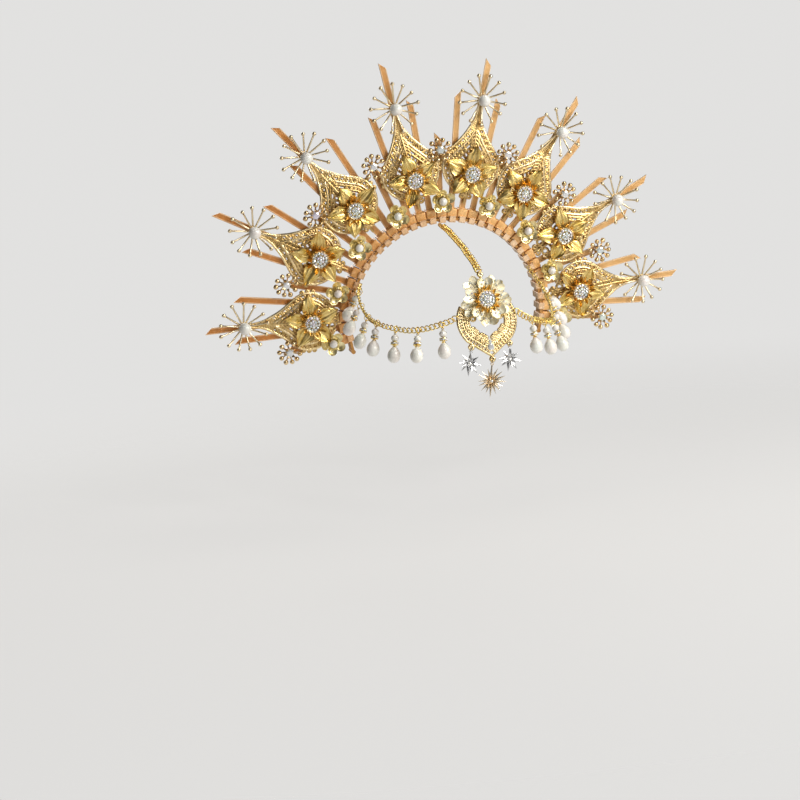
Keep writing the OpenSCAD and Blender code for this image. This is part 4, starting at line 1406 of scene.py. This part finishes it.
def make_pendant_flower():
    """Two rows of notched petals dotted with stones, a row of amber ones and a paved middle."""
    place = PENDANT @ moved(0, -0.8, PEND_FLOWER_V)
    meshes, dots = [], []
    for row, (length, half, first, front, tilt) in enumerate(FLOWER_ROWS):
        for i in range(5):
            seed, turn = row * 5 + i, first + i * PETAL_TURN
            leaf = petal(length, half, HEART, bow=1.4, cup=1.6, veins=(4, 0.14), thick=0.5,
                         material=PALE_LIT_PETAL, rows=20, columns=16, seed=300 + seed, tip_back=-0.8, wave=0.4,
                         notch=1.7, fold=0.25)
            meshes.append(ringed(PALE_LIT_PETAL, leaf, 1, 310 + seed, turn=turn, front=front, tilt=tilt, wobble=2,
                                 size_wobble=0.03))
            lying = turned("Y", turn) @ moved(0, front, 0) @ turned("X", tilt)
            for across, along in ((-1.9, 0.72), (1.9, 0.72), (0, 0.87)):
                spot = lying @ Vector((across, -1.75 - 0.2 * abs(across), length * along))
                dots.append((spot, FRONT, 0.75))
    narrow = petal(11.4, 2.0, NARROW, bow=1.0, cup=0.6, veins=(1, 0.12), thick=0.45, material=AMBER_GOLD,
                   rows=12, columns=6, seed=9, tip_back=-1.2)
    meshes.append(ringed(AMBER_GOLD, narrow, 13, 330, turn=18, front=-2.9, tilt=22, tilt_step=5, wobble=3,
                         size_wobble=0.06))
    meshes.append(lathe([(0, 0), (3.6, 0), (4, 1.2), (3.4, 3), (2.6, 5), (0, 5)], 20, PALE_LIT_PETAL, "-Y"))
    meshes += cluster(6.5, 4.6, 331, PALE_LIT_PETAL)
    finish_piece("pendant_petals", [(mesh, place) for mesh in meshes], ["pendant_flower"])
    hung = [((0, -0.9, up), FRONT, r) for up, _, r in HUNG_STONES]
    stones = [(paved_stones(-6.9, 332), place), (set_stones(dots, 333), place),
              (set_stones(hung, 334, BIG_STONE), PENDANT)]
    finish_piece("pendant_cut_stones", stones, ["pendant_stones"], smooth=0)


# Stars

# Rays of each layer of a star: count, turn, tilt, reach and half width
Layer = namedtuple("Layer", "count turn tilt reach half")
STAR_LAYERS = {
    "star_left": [Layer(8, 0, 0, 8.4, 1.6), Layer(8, 22.5, 24, 6.0, 1.4), Layer(6, 10, 48, 4.0, 1.1)],
    "star_middle": [Layer(16, 0, 0, 10.4, 1.05), Layer(2, 0, 0, 13.0, 1.15), Layer(12, 11, 26, 8.2, 0.95),
                    Layer(8, 5, 50, 5.8, 0.9)],
    "star_right": [Layer(8, 8, 0, 8.2, 1.6), Layer(8, 30, 24, 6.0, 1.4), Layer(6, 0, 48, 4.0, 1.1)],
}


def ray(root, tip, half, depth):
    """A pointed ray with a sharp ridge, outward along Z."""
    mid = root + (tip - root) * 0.25
    verts = [(0, -depth * 0.7, root), (half * 0.6, 0, root), (0, depth * 0.7, root), (-half * 0.6, 0, root),
             (0, -depth, mid), (half, 0, mid), (0, depth, mid), (-half, 0, mid), (0, 0, tip)]
    faces = [(3, 2, 1, 0)]
    for i in range(4):
        j = (i + 1) % 4
        faces += [(i, j, j + 4, i + 4), (i + 4, j + 4, 8)]
    return mesh_of("ray", verts, faces)


def make_star(node, metal):
    """A star of pointed rays round a small stone, on a stem and two rings below its lug."""
    across, up, lean, fall = STARS[node]
    place = PENDANT @ moved(across, 0, up) @ turned("Y", lean) @ turned("X", PEND_LEAN)
    middle = place @ moved(0, 0, -fall)
    parts = []
    for i, layer in enumerate(STAR_LAYERS[node]):
        spike = ray(0.6, layer.reach, layer.half, 0.6)
        rays = ringed(metal, spike, layer.count, 400 + i, turn=layer.turn, front=-0.1, tilt=layer.tilt,
                      wobble=3, size_wobble=0.09)
        parts.append((rays, middle))
    boss = lathe([(0, -0.6), (1.6, -0.5), (1.9, 0.3), (1.2, 1.2), (0, 1.4)], 14, metal, "-Y")
    stem = lathe([(0, -fall), (0.5, -fall), (0.42, -4.1), (0, -4.0)], 8, metal)
    parts += [(boss, middle), (hoop(1.7, 0.3, 18, 6, metal), place @ moved(0, 0, -1.3) @ turned("Z", 90)),
              (hoop(1.0, 0.32, 16, 6, metal), place @ moved(0, 0, -3.3)), (stem, place),
              (set_stones([((0, -1.5, 0), FRONT, 1.25)], 410), middle)]
    finish_piece(node + "_rays", parts, [node], smooth=25)


def make_stars():
    make_star("star_left", SILVER)
    make_star("star_middle", CHAMPAGNE)
    make_star("star_right", SILVER)


# Band and studio

FLOOR_HALF, FLOOR_DOWN = 4, 0.22
# Name, place, size, power and colour of each soft light
LIGHTS = [
    ("key", (0.64, -0.62, 0.33), 0.36, 5.2, (1.0, 0.98, 0.95)),
    ("left", (-1.2, -0.9, 0.35), 0.6, 0.3, (1.0, 0.96, 0.90)),
    ("top", (0.55, -0.2, 1.2), 0.7, 5, (1.0, 0.98, 0.95)),
    ("back", (-0.3, 1.4, 0.5), 0.9, 6, (1.0, 0.98, 0.95)),
    ("spark", (0.5, -1.45, 0.85), 0.16, 5.5, (1.0, 1.0, 1.0)),
    ("glint", (0.1, -1.5, 0.05), 0.12, 1.2, (1.0, 1.0, 1.0)),
    ("low", (0.6, -1.1, -0.1), 0.5, 2.0, (1.0, 1.0, 1.0)),
]
LIT_POINT = Vector((0, -0.01, -0.01))
# The camera's place and turn, and its lens on a sensor 36 mm wide
CAMERA_PLACE, CAMERA_TURN = (-0.396488, -1.402743, 0.045262), (83.0650, 5.2762, -14.7548)
LENS, SENSOR = 88.173, 36


def make_band():
    set_material(frame["nodes"]["headband"].data, BAND_GOLD)


def make_floor():
    """A pale floor that fades out towards its edge."""
    f = Finish("studio_floor", Roughness=0.8, Emission_Color=(0.94, 0.93, 0.91, 1), Emission_Strength=0.62)
    f.feed("Base Color", f.blend(f.noise(1.5, 2.0), (0.20, 0.197, 0.193), (0.215, 0.212, 0.208)))
    level = f.make("ShaderNodeVectorMath", {"operation": "MULTIPLY"}, {0: f.place, 1: (1, 1, 0)})
    away = f.make("ShaderNodeVectorMath", {"operation": "LENGTH"}, {0: level}, output=1)
    fade = f.make("ShaderNodeMapRange", {"interpolation_type": "SMOOTHSTEP"}, {
        "Value": away, "From Min": 0.2, "From Max": 1.2})
    mixed = f.make("ShaderNodeMixShader", None, {
        0: fade, 1: f.shader.outputs[0], 2: f.make("ShaderNodeBsdfTransparent")})
    f.tree.links.new(mixed.socket, f.tree.nodes["Material Output"].inputs[0])
    corners = [(x * FLOOR_HALF, y * FLOOR_HALF, -FLOOR_DOWN) for x, y in ((-1, -1), (1, -1), (1, 1), (-1, 1))]
    shown("studio_floor", mesh_of("studio_floor", corners, [(0, 1, 2, 3)], f.material))


def make_room():
    """A dim room to reflect, seen by the camera as pale paper."""
    world = bpy.data.worlds.new("studio")
    world.use_nodes = True
    scene.world = world
    tree = world.node_tree
    way = add_node(tree, "ShaderNodeTexCoord").outputs["Generated"]
    height = add_node(tree, "ShaderNodeSeparateXYZ", None, {0: way}).outputs["Z"]
    room = add_node(tree, "ShaderNodeValToRGB", {"stops": [
        (0.0, (0.13, 0.125, 0.12)), (0.12, (0.06, 0.058, 0.055)), (0.5, (0.02, 0.02, 0.022)),
        (1.0, (0.08, 0.08, 0.08))]}, {0: height})
    seen = add_node(tree, "ShaderNodeLightPath").outputs["Is Camera Ray"]
    paper = add_node(tree, "ShaderNodeMix", {"data_type": "RGBA"}, {
        0: seen, 6: room.outputs[0], 7: (0.76, 0.755, 0.745, 1)})
    tree.links.new(paper.outputs[2], tree.nodes["Background"].inputs["Color"])
    scene.view_settings.view_transform = "Standard"


def make_lights():
    for name, place, size, power, colour in LIGHTS:
        light = bpy.data.lights.new(name, "AREA")
        light.size, light.energy, light.color = size, power, colour
        lamp = shown(name, light)
        lamp.location = place
        lamp.rotation_euler = (LIT_POINT - Vector(place)).to_track_quat("-Z", "Y").to_euler()


def make_camera():
    data = bpy.data.cameras.new("camera")
    data.sensor_width, data.lens = SENSOR, LENS
    scene.camera = shown("camera", data)
    scene.camera.location = CAMERA_PLACE
    scene.camera.rotation_euler = [math.radians(a) for a in CAMERA_TURN]


make_camera()
make_band()
make_ties()
make_plates()
make_flowers()
make_sprays()
make_sprigs()
make_rosettes()
make_chains()
make_drops()
make_pendant_plate()
make_pendant_flower()
make_stars()
make_floor()
make_room()
make_lights()
